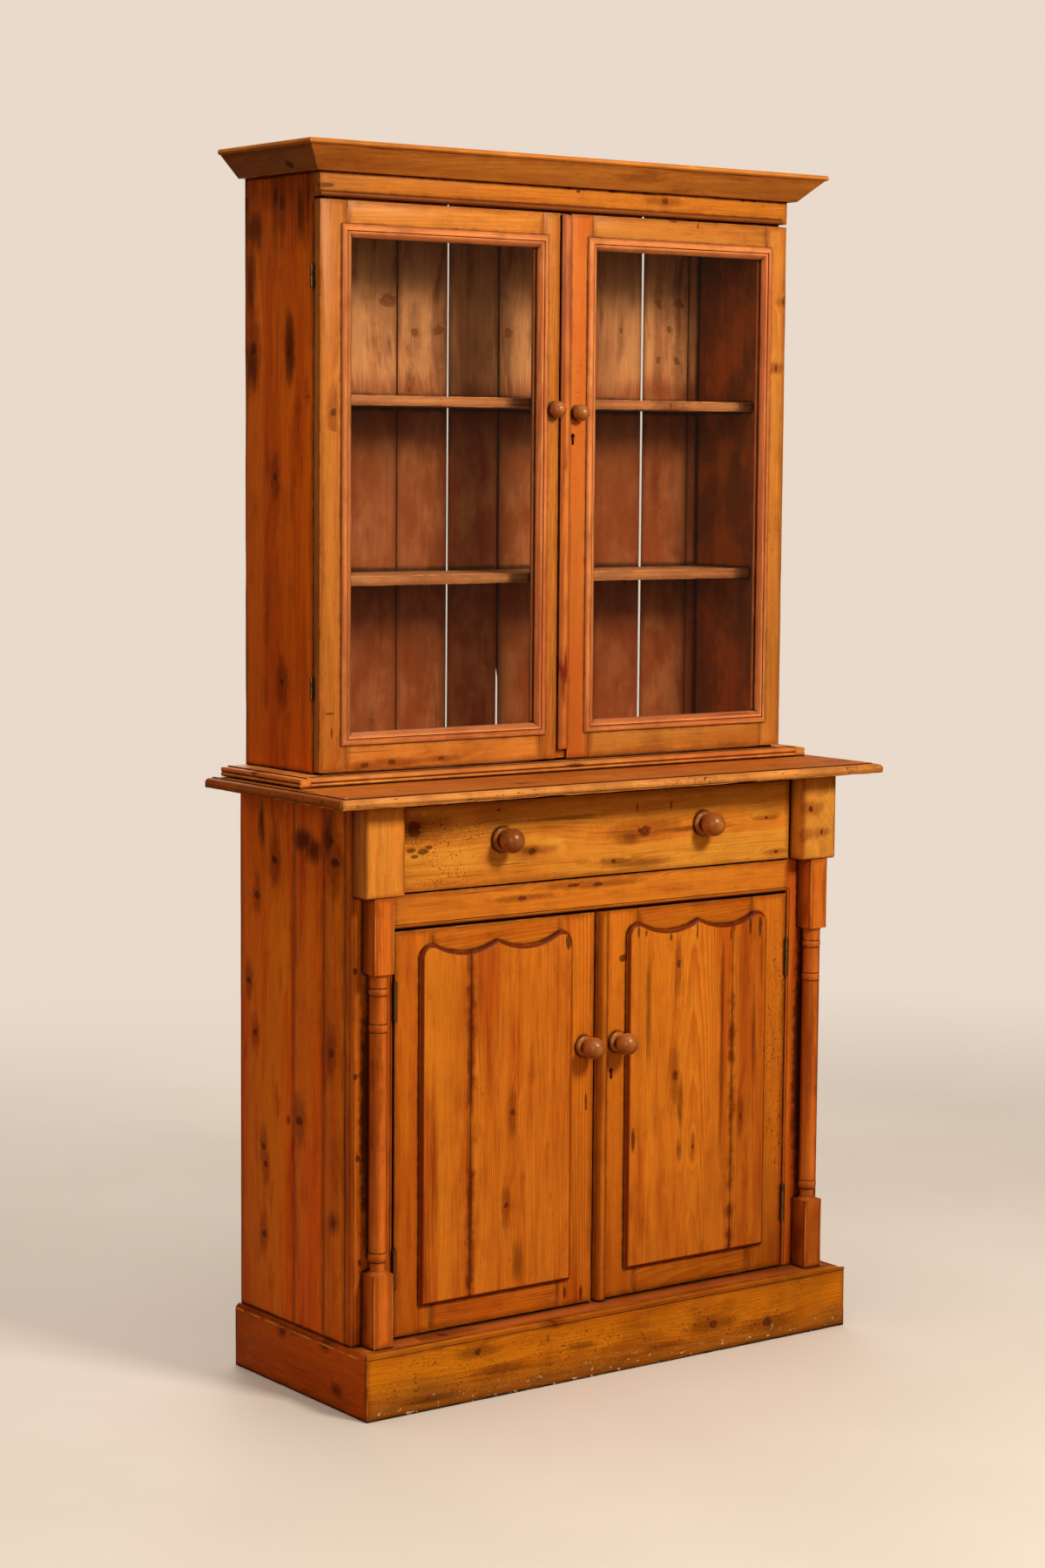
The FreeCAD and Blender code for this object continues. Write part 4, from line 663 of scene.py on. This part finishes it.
lower_side_pine = pine("lower_side_pine", srgb(238, 131, 27), srgb(230, 76, 12), srgb(112, 24, 4),
                       knots=LOWER_SIDE_KNOTS, soaks_and_shadows=LOWER_SIDE_SOAKS, loose_knots=0.07, blotch=0.6,
                       soaked_and_shadow=0.9)
for node in ("lower_side_left", "lower_side_right"):
    boards(node, lower_side_pine)

# ---------------------------------------- face frame of the lower case
# Front stiles with beaded corners, the beaded rail under the drawer and the thin rail over it, in
# cleaner pine than the sides. Old holes in the left stile are plugged, and the plugs went dark.


def on_front(face, spots):
    """Spots on a face that looks forwards: each has its x and z, and its radii in millimetres."""
    return tuple((x, face, z, wide / 1000, high / 1000) for x, z, wide, high in spots)


FRAME_FACE = -0.134
STILE_PLUGS = on_front(FRAME_FACE, (
    (-0.507, 0.744, 3.9, 5.8), (-0.506, 0.568, 4, 5.8), (-0.501, 0.43, 4, 5.9),
    (-0.497, 0.253, 4, 5.9),
))
RAIL_KNOTS = on_front(FRAME_FACE, (
    (-0.056, 0.854, 13.2, 3), (-0.001, 0.852, 15.3, 3.4), (-0.166, 0.84, 11.1, 3),
))
frame_pine = pine("frame_pine", srgb(225, 133, 38), srgb(202, 102, 26), srgb(114, 34, 7),
                  knots=RAIL_KNOTS, lie=LYING, loose_knots=0.1)
for node in ("drawer_rail", "top_rail"):
    boards(node, frame_pine)

# Behind each pilaster the stile is painted dark as the pilaster's shadow: long marks and soft
# soaks, and on the right stile a tide from just left of the pilaster outwards.
STILE_SHADE = on_front(FRAME_FACE, ((-0.474, 0.49, 23, 240), (0.474, 0.49, 23, 240)))
STILE_SHADOW_SOAKS = on_front(FRAME_FACE, (
    (-0.476, 0.49, 26, 450), (0.476, 0.49, 26, 450), (-0.476, 0.12, 30, 30), (0.476, 0.12, 30, 30),
))
stile_pine = pine("stile_pine", srgb(228, 122, 32), srgb(198, 86, 20), srgb(104, 26, 4),
                  marks=STILE_PLUGS + STILE_SHADE, soaks_and_shadows=STILE_SHADOW_SOAKS, loose_knots=0.06, flame=0.8,
                  tides=((0, 0.43, 0.46, 0.0, srgb(142, 46, 6), 0.85),))
for node in ("face_stile_left", "face_stile_right"):
    boards(node, stile_pine)

# ---------------------------------------- plinth
# Mitred boards nailed round the foot of the case, with a ledge behind them. Mopping and kicks have
# crazed the shellac, left paint on the foot and worn its lower edge ragged.

PLINTH_FACE, PLINTH_END = -0.201, -0.527
PLINTH_KNOTS = on_front(PLINTH_FACE, (
    (-0.302, 0.085, 7.2, 6), (0.214, 0.05, 9.1, 7.2), (0.342, 0.033, 10.4, 8.1),
)) + on_side(PLINTH_END, (
    (0.061, 0.096, 8.4, 6.1), (-0.074, 0.103, 9.4, 6.7), (-0.109, 0.034, 9.3, 6),
))
PLINTH_SCUFFS = on_front(PLINTH_FACE, (
    (-0.25, 0.045, 60, 10), (-0.08, 0.058, 30, 8), (-0.4, 0.02, 50, 8), (0.1, 0.03, 50, 6),
))
plinth_front_pine = pine("plinth_front_pine", srgb(220, 131, 18), srgb(196, 99, 11),
                         srgb(98, 35, 3), knots=PLINTH_KNOTS, soaks_and_shadows=PLINTH_SCUFFS, lie=LYING,
                         cracks=1.0, wear=1.4,
                         crackled=on_front(PLINTH_FACE, ((0.0, 0.05, 500, 50),)),
                         contrast=1.3, flecks=True,
                         tides=((2, 0.062, 0.0, 0.12, srgb(112, 70, 30), 0.7),))
plinth_end_pine = pine("plinth_end_pine", srgb(210, 94, 9), srgb(184, 73, 4), srgb(95, 24, 3),
                       knots=PLINTH_KNOTS, lie=LYING, cracks=0.6, wear=1.2)
KICKED = {"eased": 0.0018, "pitch": 0.014}
boards("plinth_front", plinth_front_pine, wear=1.6, **KICKED)
boards("plinth_ends", plinth_end_pine, wear=1.2, **KICKED)
boards("plinth_ledge", pine("ledge_pine", srgb(178, 92, 32), srgb(156, 71, 24), srgb(79, 25, 6)))

# ---------------------------------------- worktop
# A board with a thumb mould, mitred to an end strip that is nailed on at each side. Its face is
# scrubbed and dull, and its nose is chipped along the whole front.

WORKTOP_NAILS = tuple((-0.585, y, 1.032, 0.0026, 0.0026) for y in (0.009, -0.094, -0.154))
worktop_pine = pine("worktop_pine", srgb(182, 99, 30), srgb(160, 77, 20), srgb(85, 25, 3),
                    knots=((-0.18, -0.15, 1.038, 0.011, 0.0022),), marks=WORKTOP_NAILS,
                    tides=((1, -0.203, -0.211, 0.01, srgb(228, 152, 72), 0.8),), contrast=1.9,
                    gloss=0.5, cracks=2.2, ticks=3.0, wear=1.9)
for node in ("worktop", "worktop_ends"):
    boards(node, worktop_pine, eased=0.0016, wear=1.6, pitch=0.014)

# ---------------------------------------- corner blocks and pilasters
# Blocks with rounded corners, glued over half-round pilasters that were turned in one length and
# left square at both ends. Both are rubbed through on their crowns, painted pale there as wear
# and as highlight.

BLOCK_FACE = -0.173
BLOCK_KNOTS = on_front(BLOCK_FACE, (
    (0.45, 0.96, 5.4, 7.1), (0.477, 0.916, 3.4, 4.8), (0.422, 0.913, 6.3, 7.1),
))
# The blocks' sides are painted darker towards the back, as shade.
block_pine = pine("block_pine", srgb(231, 159, 59), srgb(215, 124, 43), srgb(124, 46, 11),
                  knots=BLOCK_KNOTS, lie=LYING, loose_knots=0.05,
                  tides=((1, -0.168, -0.138, 0.012, srgb(132, 60, 14), 0.75),))
boards("corner_blocks", block_pine)

# The quirks beside the turned rings are painted dark, as dirt and as shade, and the square ends
# are painted pale along their corners, as wear and as highlight. A tide darkens the shaft and the
# squares towards the back, as painted shade.
PILASTERS = (-0.474, 0.474)
QUIRK_DEPTH, QUIRKS = -0.1525, (0.2565, 0.272, 0.643, 0.657, 0.704, 0.717)
CORNER_DEPTH, HALF_SQUARE = -0.1715, 0.019
SQUARE_ENDS, HALF_END = (0.173, 0.803), 0.063
PILASTER_QUIRK_DIRT_AND_SHADE = [(x, QUIRK_DEPTH, z, 0.026, 0.0013) for x in PILASTERS for z in QUIRKS]
PILASTER_CORNER_WEAR_AND_HIGHLIGHT = [(corner, CORNER_DEPTH, z, 0.0018, HALF_END) for x in PILASTERS
                 for corner in (x - HALF_SQUARE, x + HALF_SQUARE) for z in SQUARE_ENDS]
pilaster_pine = pine("pilaster_pine", srgb(223, 119, 36), srgb(194, 88, 27), srgb(104, 33, 9),
                     marks=PILASTER_QUIRK_DIRT_AND_SHADE, rubs=PILASTER_CORNER_WEAR_AND_HIGHLIGHT, loose_knots=0.05, blotch=0.8,
                     tides=((1, -0.166, -0.142, 0.006, srgb(84, 24, 4), 0.8),),
                     nook=0.0045, grime_and_shade=1.5)
boards("pilasters", pilaster_pine, eased=0)

# ---------------------------------------- drawer
# One wide drawer. A broad amber board with a cluster of dead knots at its left and crazed shellac
# makes the front, lapped over the dovetails of plain sides; the bottom is a thin board in a groove.

DRAWER_FACE = -0.138
DRAWER_KNOBS = (-0.213, 0.227)
DRAWER_KNOTS = on_front(DRAWER_FACE, (
    (-0.394, 0.972, 14, 13.1), (-0.149, 0.92, 8.3, 4.8), (0.094, 0.94, 15, 9),
    (0.375, 0.945, 5, 2.8), (0.399, 0.882, 5, 2.8), (0.027, 0.891, 5, 2.8),
))
DRAWER_MARKS = on_front(DRAWER_FACE, (
    (-0.399, 0.938, 9.1, 3.7), (-0.391, 0.927, 7.4, 3.6), (-0.375, 0.934, 10.6, 5.1),
    (-0.363, 0.941, 7.1, 3.7), (0.155, 0.981, 2, 7.7), (0.079, 0.98, 1.9, 9.2),
    (-0.22, 0.995, 5.5, 2.2), (-0.424, 1.004, 14, 4),
))
DRAWER_SOAKS = on_front(DRAWER_FACE, (
    (0.064, 0.929, 31.1, 12.3), (0.086, 0.884, 78.5, 10.8), (-0.096, 0.972, 113.5, 4.5),
    (0.213, 0.937, 80.5, 4.7), (-0.39, 0.975, 26, 16), (-0.15, 0.922, 22, 7),
))
DRAWER_CRACKLE = on_front(DRAWER_FACE, ((-0.3, 0.955, 110, 50), (-0.33, 0.9, 70, 30)))
drawer_pine = pine("drawer_pine", srgb(238, 163, 56), srgb(213, 115, 32), srgb(125, 43, 7),
                   knots=DRAWER_KNOTS, marks=DRAWER_MARKS, soaks_and_shadows=DRAWER_SOAKS, lie=LYING,
                   crackled=DRAWER_CRACKLE, loose_knots=0.02, blotch=0.4)
boards("drawer_front", drawer_pine, cuts=DRAWER_KNOBS)
inner_pine = pine("inner_pine", srgb(190, 128, 66), srgb(168, 100, 50), srgb(92, 39, 14),
                  gloss=0.6, coat=0.0, wear=0.5)
for node in ("drawer_sides", "drawer_back", "drawer_bottom", "drawer_runners"):
    boards(node, inner_pine)

# ---------------------------------------- lower doors
# Framed doors, each with a panel planted on it whose head is cut to a serpentine line and whose
# edge is rounded over. Each panel is two boards glued up, and stain has run into the joint. The
# quirk round each panel is darkened as dirt and as painted shade.

DOOR_MARKS = on_front(FRAME_FACE, (
    (-0.025, 0.468, 2.9, 15.5), (-0.068, 0.136, 3.1, 12.5), (-0.033, 0.131, 3.5, 14.1),
    (0.054, 0.717, 7.8, 6.2),
))
door_pine = pine("door_pine", srgb(216, 122, 28), srgb(175, 70, 11), srgb(91, 25, 3),
                 marks=DOOR_MARKS, crackled=on_front(FRAME_FACE, ((0.415, 0.45, 30, 280),)),
                 loose_knots=0.08)
LOWER_LEFT_KNOB, LOWER_RIGHT_KNOB = -0.032, 0.041
boards("lower_left_door_frame", door_pine, cuts=(LOWER_LEFT_KNOB,))
boards("lower_right_door_frame", door_pine, cuts=(LOWER_RIGHT_KNOB,))
boards("lower_meeting_strip", door_pine, eased=0)

PANEL_FACE = -0.143
LEFT_SEAM, RIGHT_SEAM = -0.278, 0.297
PANEL_KNOTS = on_front(PANEL_FACE, (
    (-0.19, 0.473, 5.5, 6.1), (-0.203, 0.313, 5.5, 6.1), (0.172, 0.696, 4.4, 7.8),
    (0.166, 0.498, 5.2, 9.4), (0.32, 0.406, 3.3, 6.4), (0.209, 0.365, 3, 4),
))
PANEL_MARKS = on_front(PANEL_FACE, (
    (-0.073, 0.757, 5.7, 12.2), (0.073, 0.39, 3.5, 18.8), (0.375, 0.523, 2.5, 8),
    (0.377, 0.433, 3.3, 19.4), (0.379, 0.297, 3.8, 9.7), (0.081, 0.76, 2.3, 9.3),
    (0.098, 0.758, 2.3, 6.2), (0.154, 0.747, 2.4, 6.2), (0.214, 0.751, 2, 15.7),
    (0.292, 0.74, 2, 11.1), (0.337, 0.755, 3.1, 15.9), (0.36, 0.748, 3.7, 17.5),
))
PANEL_SOAKS = on_front(PANEL_FACE, (
    (-0.281, 0.748, 6, 89.3), (-0.28, 0.599, 6, 119.9), (-0.279, 0.373, 6, 136.2),
    (-0.178, 0.207, 11.2, 33.8), (0.179, 0.446, 6, 47.4), (0.177, 0.361, 5.5, 19),
    (0.274, 0.54, 5.5, 191.4), (0.349, 0.564, 4.5, 96.2), (0.105, 0.62, 6.5, 93.6),
))
# The corners round each panel are darkened more, as dirt and as painted shade.
panel_pine = pine("panel_pine", srgb(219, 128, 32), srgb(175, 72, 14), srgb(99, 25, 3),
                  knots=PANEL_KNOTS, marks=PANEL_MARKS, soaks_and_shadows=PANEL_SOAKS,
                  seams=(LEFT_SEAM, RIGHT_SEAM), loose_knots=0.04, flame=0.8, rim=0.0,
                  mould=0.95, grime_and_shade=1.4, nook=0.008)
boards("lower_left_door_panel", panel_pine, eased=0, seams=(LEFT_SEAM,))
boards("lower_right_door_panel", panel_pine, eased=0, seams=(RIGHT_SEAM,))

# ---------------------------------------- inside and back of the lower case
# Floor, shelf and upright back boards of rough pine that was never polished, only darkened by age.

for node in ("bottom_board", "lower_shelf", "lower_back_boards"):
    boards(node, inner_pine)

# ---------------------------------------- upper case
# Two sides, top, two shelves, the post behind the meeting doors and ten upright back boards with
# bevelled edges. The back was washed with stain as high as the upper shelf, and two joints gape.

UPPER_SIDE, INNER_FACE = -0.504, 0.492
UPPER_SIDE_KNOTS = on_side(UPPER_SIDE, (
    (0.212, 2.013, 6.2, 11.6), (0.118, 2.015, 7.1, 12.9), (0.098, 2.007, 6.6, 11.5),
    (0.017, 2.012, 3.2, 9.9), (0.19, 1.767, 12.7, 10.3), (0.073, 1.76, 8.7, 8.6),
    (0.119, 1.552, 7.2, 7.3), (0.098, 1.207, 9.7, 6.6),
))
UPPER_SIDE_SOAKS = on_side(UPPER_SIDE, (
    (0.186, 1.97, 25.2, 32), (0.192, 1.739, 22.5, 44), (0.073, 1.78, 16.3, 57.6),
    (0.04, 1.993, 13.4, 42.6), (0.2, 1.871, 14.1, 73.1),
))
UPPER_SIDE_MARKS = on_side(UPPER_SIDE, ((0.207, 1.688, 2.8, 2.2), (0.015, 1.686, 2.7, 2.1)))
# Each side is darker towards its top, and its inner face is painted dark: painted shade over the
# duller inside wood.
for side, outwards in (("left", -1), ("right", 1)):
    upper_side_pine = pine(
        f"upper_side_pine_{side}", srgb(234, 114, 21), srgb(186, 65, 9), srgb(86, 19, 3),
        knots=UPPER_SIDE_KNOTS, marks=UPPER_SIDE_MARKS, soaks_and_shadows=UPPER_SIDE_SOAKS, loose_knots=0.03,
        blotch=0.55, soaked_and_shadow=0.85,
        tides=((2, 1.80, 2.10, 0.12, srgb(104, 34, 8), 0.5),
               (0, outwards * 0.500, outwards * INNER_FACE, 0.0, srgb(88, 50, 28), 0.92)))
    boards(f"upper_side_{side}", upper_side_pine)

BACK_FACE = 0.204
BACK_KNOTS = on_front(BACK_FACE, (
    (0.386, 1.869, 6.2, 9.6), (0.436, 1.873, 12.6, 9.7), (0.297, 1.821, 4.1, 6.4),
    (0.411, 1.826, 6.3, 8.1), (0.386, 1.77, 6.2, 9.7), (0.43, 1.769, 8.4, 8.1),
    (0.384, 1.552, 6.3, 9.7), (-0.221, 1.859, 16.5, 12.1), (-0.165, 1.805, 9.3, 8.4),
    (-0.112, 1.809, 11.3, 9.9), (0.04, 1.811, 7.7, 9.3),
))
# The broad darkening in the corners of the back is dirt and painted shade.
back_pine = pine("back_pine", srgb(174, 116, 70), srgb(154, 91, 53), srgb(80, 30, 11),
                 knots=BACK_KNOTS, knotty=0.7,
                 tides=((2, 1.75, 1.70, 0.12, srgb(104, 36, 6), 0.86),
                        (1, 0.2090, 0.2105, 0.0, srgb(128, 86, 52), 0.85)),
                 gloss=0.55, coat=0.0, blotch=0.8, nook=0.012, grime_and_shade=1.2)
back = boards("upper_back_boards", back_pine)

# Two joints gape all the way up and a third at its foot. The board to the right of each has split
# away behind, so that daylight shows through. Each has its place, its top, how much it widens for
# each metre below its top, and how much wider it is all along.
NO_TOP = 9.0
GAPING = ((-0.0909, NO_TOP, 0.0, 0.0005), (0.3479, NO_TOP, 0.0, 0.002), (0.01885, 1.24, 0.02, 0.0))
BEYOND_BEVEL, SPLIT_AWAY, SPLIT_START = 0.210, 0.009, 0.05
EDGE_OF_BOARD = 0.004
select_only(back)
bpy.ops.object.mode_set(mode="EDIT")
mesh = bmesh.from_edit_mesh(back.data)
for joint, top, taper, wider in GAPING:
    for vertex in mesh.verts:
        if 0 < vertex.co.x - joint < EDGE_OF_BOARD and vertex.co.z < top:
            below = top - vertex.co.z
            behind = SPLIT_AWAY * min(1, below / SPLIT_START) if vertex.co.y > BEYOND_BEVEL else 0.0
            vertex.co.x += behind + wider + below * taper
bmesh.update_edit_mesh(back.data)
bpy.ops.object.mode_set(mode="OBJECT")
shelf_pine = pine("shelf_pine", srgb(166, 105, 60), srgb(148, 81, 45), srgb(80, 30, 11), gloss=0.5)
for node in ("upper_top_board", "upper_shelves", "centre_post"):
    boards(node, shelf_pine)

# ---------------------------------------- base of the upper case
# A board with a double-reeded nose on which the upper case stands, with a strip of the same mould
# nailed along each side. The strips are cut off square in front and show their end grain.

base_pine = pine("base_pine", srgb(238, 163, 74), srgb(238, 127, 54), srgb(139, 48, 16),
                 marks=((-0.553, 0.110, 1.055, 0.0112, 0.0044), (0.02, -0.036, 1.05, 0.02, 0.004)),
                 loose_knots=0.02, wear=1.5)
for node in ("upper_base_board", "upper_base_ends"):
    boards(node, base_pine)

# ---------------------------------------- frieze and cornice
# A plain frieze with a half-round bead along its foot, and a canted cornice mitred at its corners
# under a thin cap. The cornice is duller than the frieze, and its cap is chipped along the top.

FRIEZE_FACE = -0.019
FRIEZE_MARKS = on_front(FRIEZE_FACE, (
    (0.004, 2.052, 7.5, 2.4), (0.026, 2.047, 4.7, 3), (0.1, 2.051, 7.7, 3),
    (0.173, 2.053, 6.8, 2.7), (0.398, 2.051, 5.1, 3.1), (0.424, 2.051, 6.2, 2.5),
    (-0.492, 2.03, 13.6, 4.2),
))
frieze_pine = pine("frieze_pine", srgb(208, 124, 38), srgb(187, 94, 27), srgb(104, 35, 6),
                   knots=on_front(FRIEZE_FACE, ((0.219, 2.039, 6.9, 4.6),)),
                   marks=FRIEZE_MARKS, lie=LYING, loose_knots=0.02, cracks=0.6)
boards("frieze", frieze_pine)
boards("frieze_bead", pine("bead_pine", srgb(170, 92, 34), srgb(146, 69, 25), srgb(68, 21, 6)))
CORNICE_FACE = -0.045
CORNICE_KNOTS = on_front(CORNICE_FACE, ((0.141, 2.079, 9.7, 6), (0.242, 2.057, 5.9, 3)))
cornice_pine = pine("cornice_pine", srgb(227, 147, 57), srgb(205, 118, 42), srgb(122, 51, 12),
                    knots=CORNICE_KNOTS, lie=LYING, loose_knots=0.02, gloss=0.6, coat=0.0,
                    flame=0.4, blotch=0.35)
cornice_end_pine = pine("cornice_end_pine", srgb(171, 110, 50), srgb(149, 86, 40), srgb(82, 38, 15),
                        marks=((-0.53, 0.035, 2.064, 0.0107, 0.0056),), loose_knots=0.02)
boards("cornice_front", cornice_pine)
boards("cornice_ends", cornice_end_pine)
boards("cornice_cap", cornice_pine, wear=1.5)

# ---------------------------------------- upper doors
# Glazed doors. A bolection mould, darker than the frames, is mitred round each pane; a rounded
# astragal sits in a rebate of the right door, worn pale at hand height, and its foot is broken off.

SASH_FACE = -0.019
UPPER_LEFT_KNOB, UPPER_RIGHT_KNOB = -0.0235, 0.0276
SASH_MARKS = on_front(SASH_FACE, (
    (-0.482, 1.161, 8.6, 1.5), (-0.48, 1.128, 1.7, 10.2), (0.238, 2.006, 7.9, 2.3),
    (0.295, 2.0, 2, 4.6),
))
SASH_KNOTS = on_front(SASH_FACE, (
    (-0.413, 1.071, 7, 3.7), (-0.359, 1.074, 8.9, 3.7), (-0.257, 1.075, 6.4, 3),
    (0.483, 1.752, 3.1, 5.5), (0.498, 1.873, 2.5, 5.5),
))
SASH = {"knots": SASH_KNOTS, "marks": SASH_MARKS, "lie": LYING, "loose_knots": 0.04, "cracks": 0.6}
sash_pine = pine("sash_pine", srgb(208, 130, 50), srgb(186, 100, 35), srgb(109, 35, 8), **SASH)
boards("upper_left_door_frame", sash_pine, cuts=(UPPER_LEFT_KNOB,))
right_sash_pine = pine("right_sash_pine", srgb(197, 127, 50), srgb(179, 97, 35), srgb(104, 35, 8),
                       tides=((0, 0.075, 0.040, 0.01, srgb(196, 88, 30), 0.7),), **SASH)
boards("upper_right_door_frame", right_sash_pine, cuts=(UPPER_RIGHT_KNOB,))
# The steps of the mould are darkened strongly in their corners, as dirt and as painted shade.
moulding_pine = pine("moulding_pine", srgb(236, 149, 80), srgb(212, 99, 52), srgb(88, 27, 13),
                     loose_knots=0.0, contrast=1.5, nook=0.006, grime_and_shade=1.7)
for node in ("upper_left_glazing", "upper_right_glazing"):
    boards(node, moulding_pine, eased=0)
astragal_pine = pine("astragal_pine", srgb(222, 129, 56), srgb(197, 96, 37), srgb(109, 35, 12),
                     loose_knots=0.0, blotch=1.2, contrast=1.6, mould=0.2,
                     tides=((2, 1.60, 1.95, 0.3, srgb(190, 120, 84), 0.4),))
boards("upper_astragal", astragal_pine, eased=0)


def glass_material():
    """Old drawn glass; light that comes from lamps passes straight through it."""
    material, shade, place = new_material("old_glass")
    ripple = place.noise((3, 3, 9))
    pane = shade.node("BsdfPrincipled", {}, {
        "Base Color": (0.93, 0.94, 0.90, 1.0), "Roughness": 0.02, "IOR": 1.45,
        "Transmission Weight": 1.0, "Normal": ripple.bump(0.15, 0.002)})
    clear = shade.node("BsdfTransparent", {}, {"Color": (0.93, 0.95, 0.93, 1.0)})
    shadow = shade.node("LightPath", output="Is Shadow Ray")
    mixed = shade.node("MixShader", {}, {0: shadow, 1: pane, 2: clear})
    shade.node("OutputMaterial", {}, {"Surface": mixed})
    return material


def dress(node, finish):
    """A node that keeps its own shape and gets its finish."""
    slots = frame["nodes"][node].data.materials
    slots.clear()
    slots.append(finish)


old_glass = glass_material()
for node in ("upper_left_glass", "upper_right_glass"):
    dress(node, old_glass)

# ---------------------------------------- knobs
# Turned pine knobs: a ball on a neck with a thin disc against the door, pegged into a hole. Hands
# have darkened them and rubbed their crowns to a dull shine.

turned_pine = pine("turned_pine", srgb(190, 112, 46), srgb(166, 87, 36), srgb(89, 35, 10),
                   loose_knots=0.0, gloss=0.3, ring=0.0022, rim=0.0, coat=0.5)

# A knob's ball, how far its middle stands out, its disc, the disc's thickness, and its neck.
DRAWER_KNOB = (0.043, 0.030, 0.043, 0.008, 0.020)
LOWER_KNOB = (0.039, 0.031, 0.037, 0.008, 0.018)
UPPER_KNOB = (0.029, 0.0135, 0.023, 0.0036, 0.022)
LET_IN, DISC_STEPS, BALL_STEPS, TURNS = 0.003, 8, 24, 48
TOUCHING = 0.00002


def turned_knob(node, sizes, places):
    """A turned knob: its outline is spun about the Y axis, then moved to each of its places."""
    ball, reach, disc, thick, neck = sizes
    flat = disc / 2 - thick / 2
    outline = [(0.0, -LET_IN), (flat, -LET_IN), (flat, 0.0)]
    for step in range(1, DISC_STEPS + 1):
        angle = math.pi * (step / DISC_STEPS - 0.5)
        outline.append((flat + math.cos(angle) * thick / 2,
                        thick / 2 + math.sin(angle) * thick / 2))
    start = math.asin(neck / ball)
    outline.append((neck / 2, thick))
    for step in range(BALL_STEPS + 1):
        angle = start + (math.pi - start) * step / BALL_STEPS
        outline.append((math.sin(angle) * ball / 2, reach - math.cos(angle) * ball / 2))
    name = f"{node}_turned"
    mesh = bpy.data.meshes.new(name)
    edges = [(index, index + 1) for index in range(len(outline) - 1)]
    mesh.from_pydata([(radius, -out, 0.0) for radius, out in outline], edges, [])
    piece = bpy.data.objects.new(name, mesh)
    bpy.context.scene.collection.objects.link(piece)
    select_only(piece)
    bpy.ops.object.mode_set(mode="EDIT")
    bpy.ops.mesh.select_all(action="SELECT")
    bpy.ops.mesh.spin(steps=TURNS, angle=2 * math.pi, center=(0, 0, 0), axis=(0, 1, 0))
    bpy.ops.mesh.select_all(action="SELECT")
    bpy.ops.mesh.remove_doubles(threshold=TOUCHING)
    bpy.ops.mesh.normals_make_consistent(inside=False)
    bpy.ops.object.mode_set(mode="OBJECT")
    for place in places[1:]:
        twin = bpy.data.objects.new(name, mesh.copy())
        twin.data.transform(Matrix.Translation(place))
        bpy.context.scene.collection.objects.link(twin)
        twin.select_set(True)
    mesh.transform(Matrix.Translation(places[0]))
    if len(places) > 1:
        bpy.ops.object.join()
    mark_grain(piece, islands(piece.data), along=1)
    finished(piece, node, turned_pine, 50)


for node, sizes, places in (
    ("drawer_knobs", DRAWER_KNOB, [(x, -0.1375, 0.945) for x in DRAWER_KNOBS]),
    ("lower_left_knob", LOWER_KNOB, [(LOWER_LEFT_KNOB, -0.1335, 0.570)]),
    ("lower_right_knob", LOWER_KNOB, [(LOWER_RIGHT_KNOB, -0.1335, 0.570)]),
    ("upper_left_knob", UPPER_KNOB, [(UPPER_LEFT_KNOB, -0.0195, 1.671)]),
    ("upper_right_knob", UPPER_KNOB, [(UPPER_RIGHT_KNOB, -0.0195, 1.666)]),
):
    turned_knob(node, sizes, places)

# ---------------------------------------- hinges and locks
# Cast brass butt hinges let into the edges of doors and case, gone dull and brown, and iron box
# locks behind the two keyholes.


def old_metal(name, bright, dull, metallic):
    """Metal that is still bright in places and has gone dull and rough in blotches."""
    material, shade, place = new_material(name)
    blotch = place.noise((60, 60, 60), 4)
    pit = place.noise((420, 420, 420))
    share = blotch.step(0.4, 0.62)
    colour = share.between(bright, dull)
    pitted = (pit + blotch).bump(0.3, 0.0004)
    principled(shade, {"Base Color": colour, "Roughness": 0.34 + share * 0.3,
                       "Metallic": metallic - share * 0.3, "Normal": pitted})
    return material


hinge_brass = old_metal("hinge_brass", srgb(150, 116, 60), srgb(78, 58, 34), 0.95)
lock_iron = old_metal("lock_iron", srgb(88, 82, 76), srgb(56, 36, 26), 0.9)
for part in ("lower", "upper"):
    for carrier in ("left", "right", "case"):
        dress(f"{part}_{carrier}_hinge_leaves", hinge_brass)
    dress(f"{part}_lock", lock_iron)
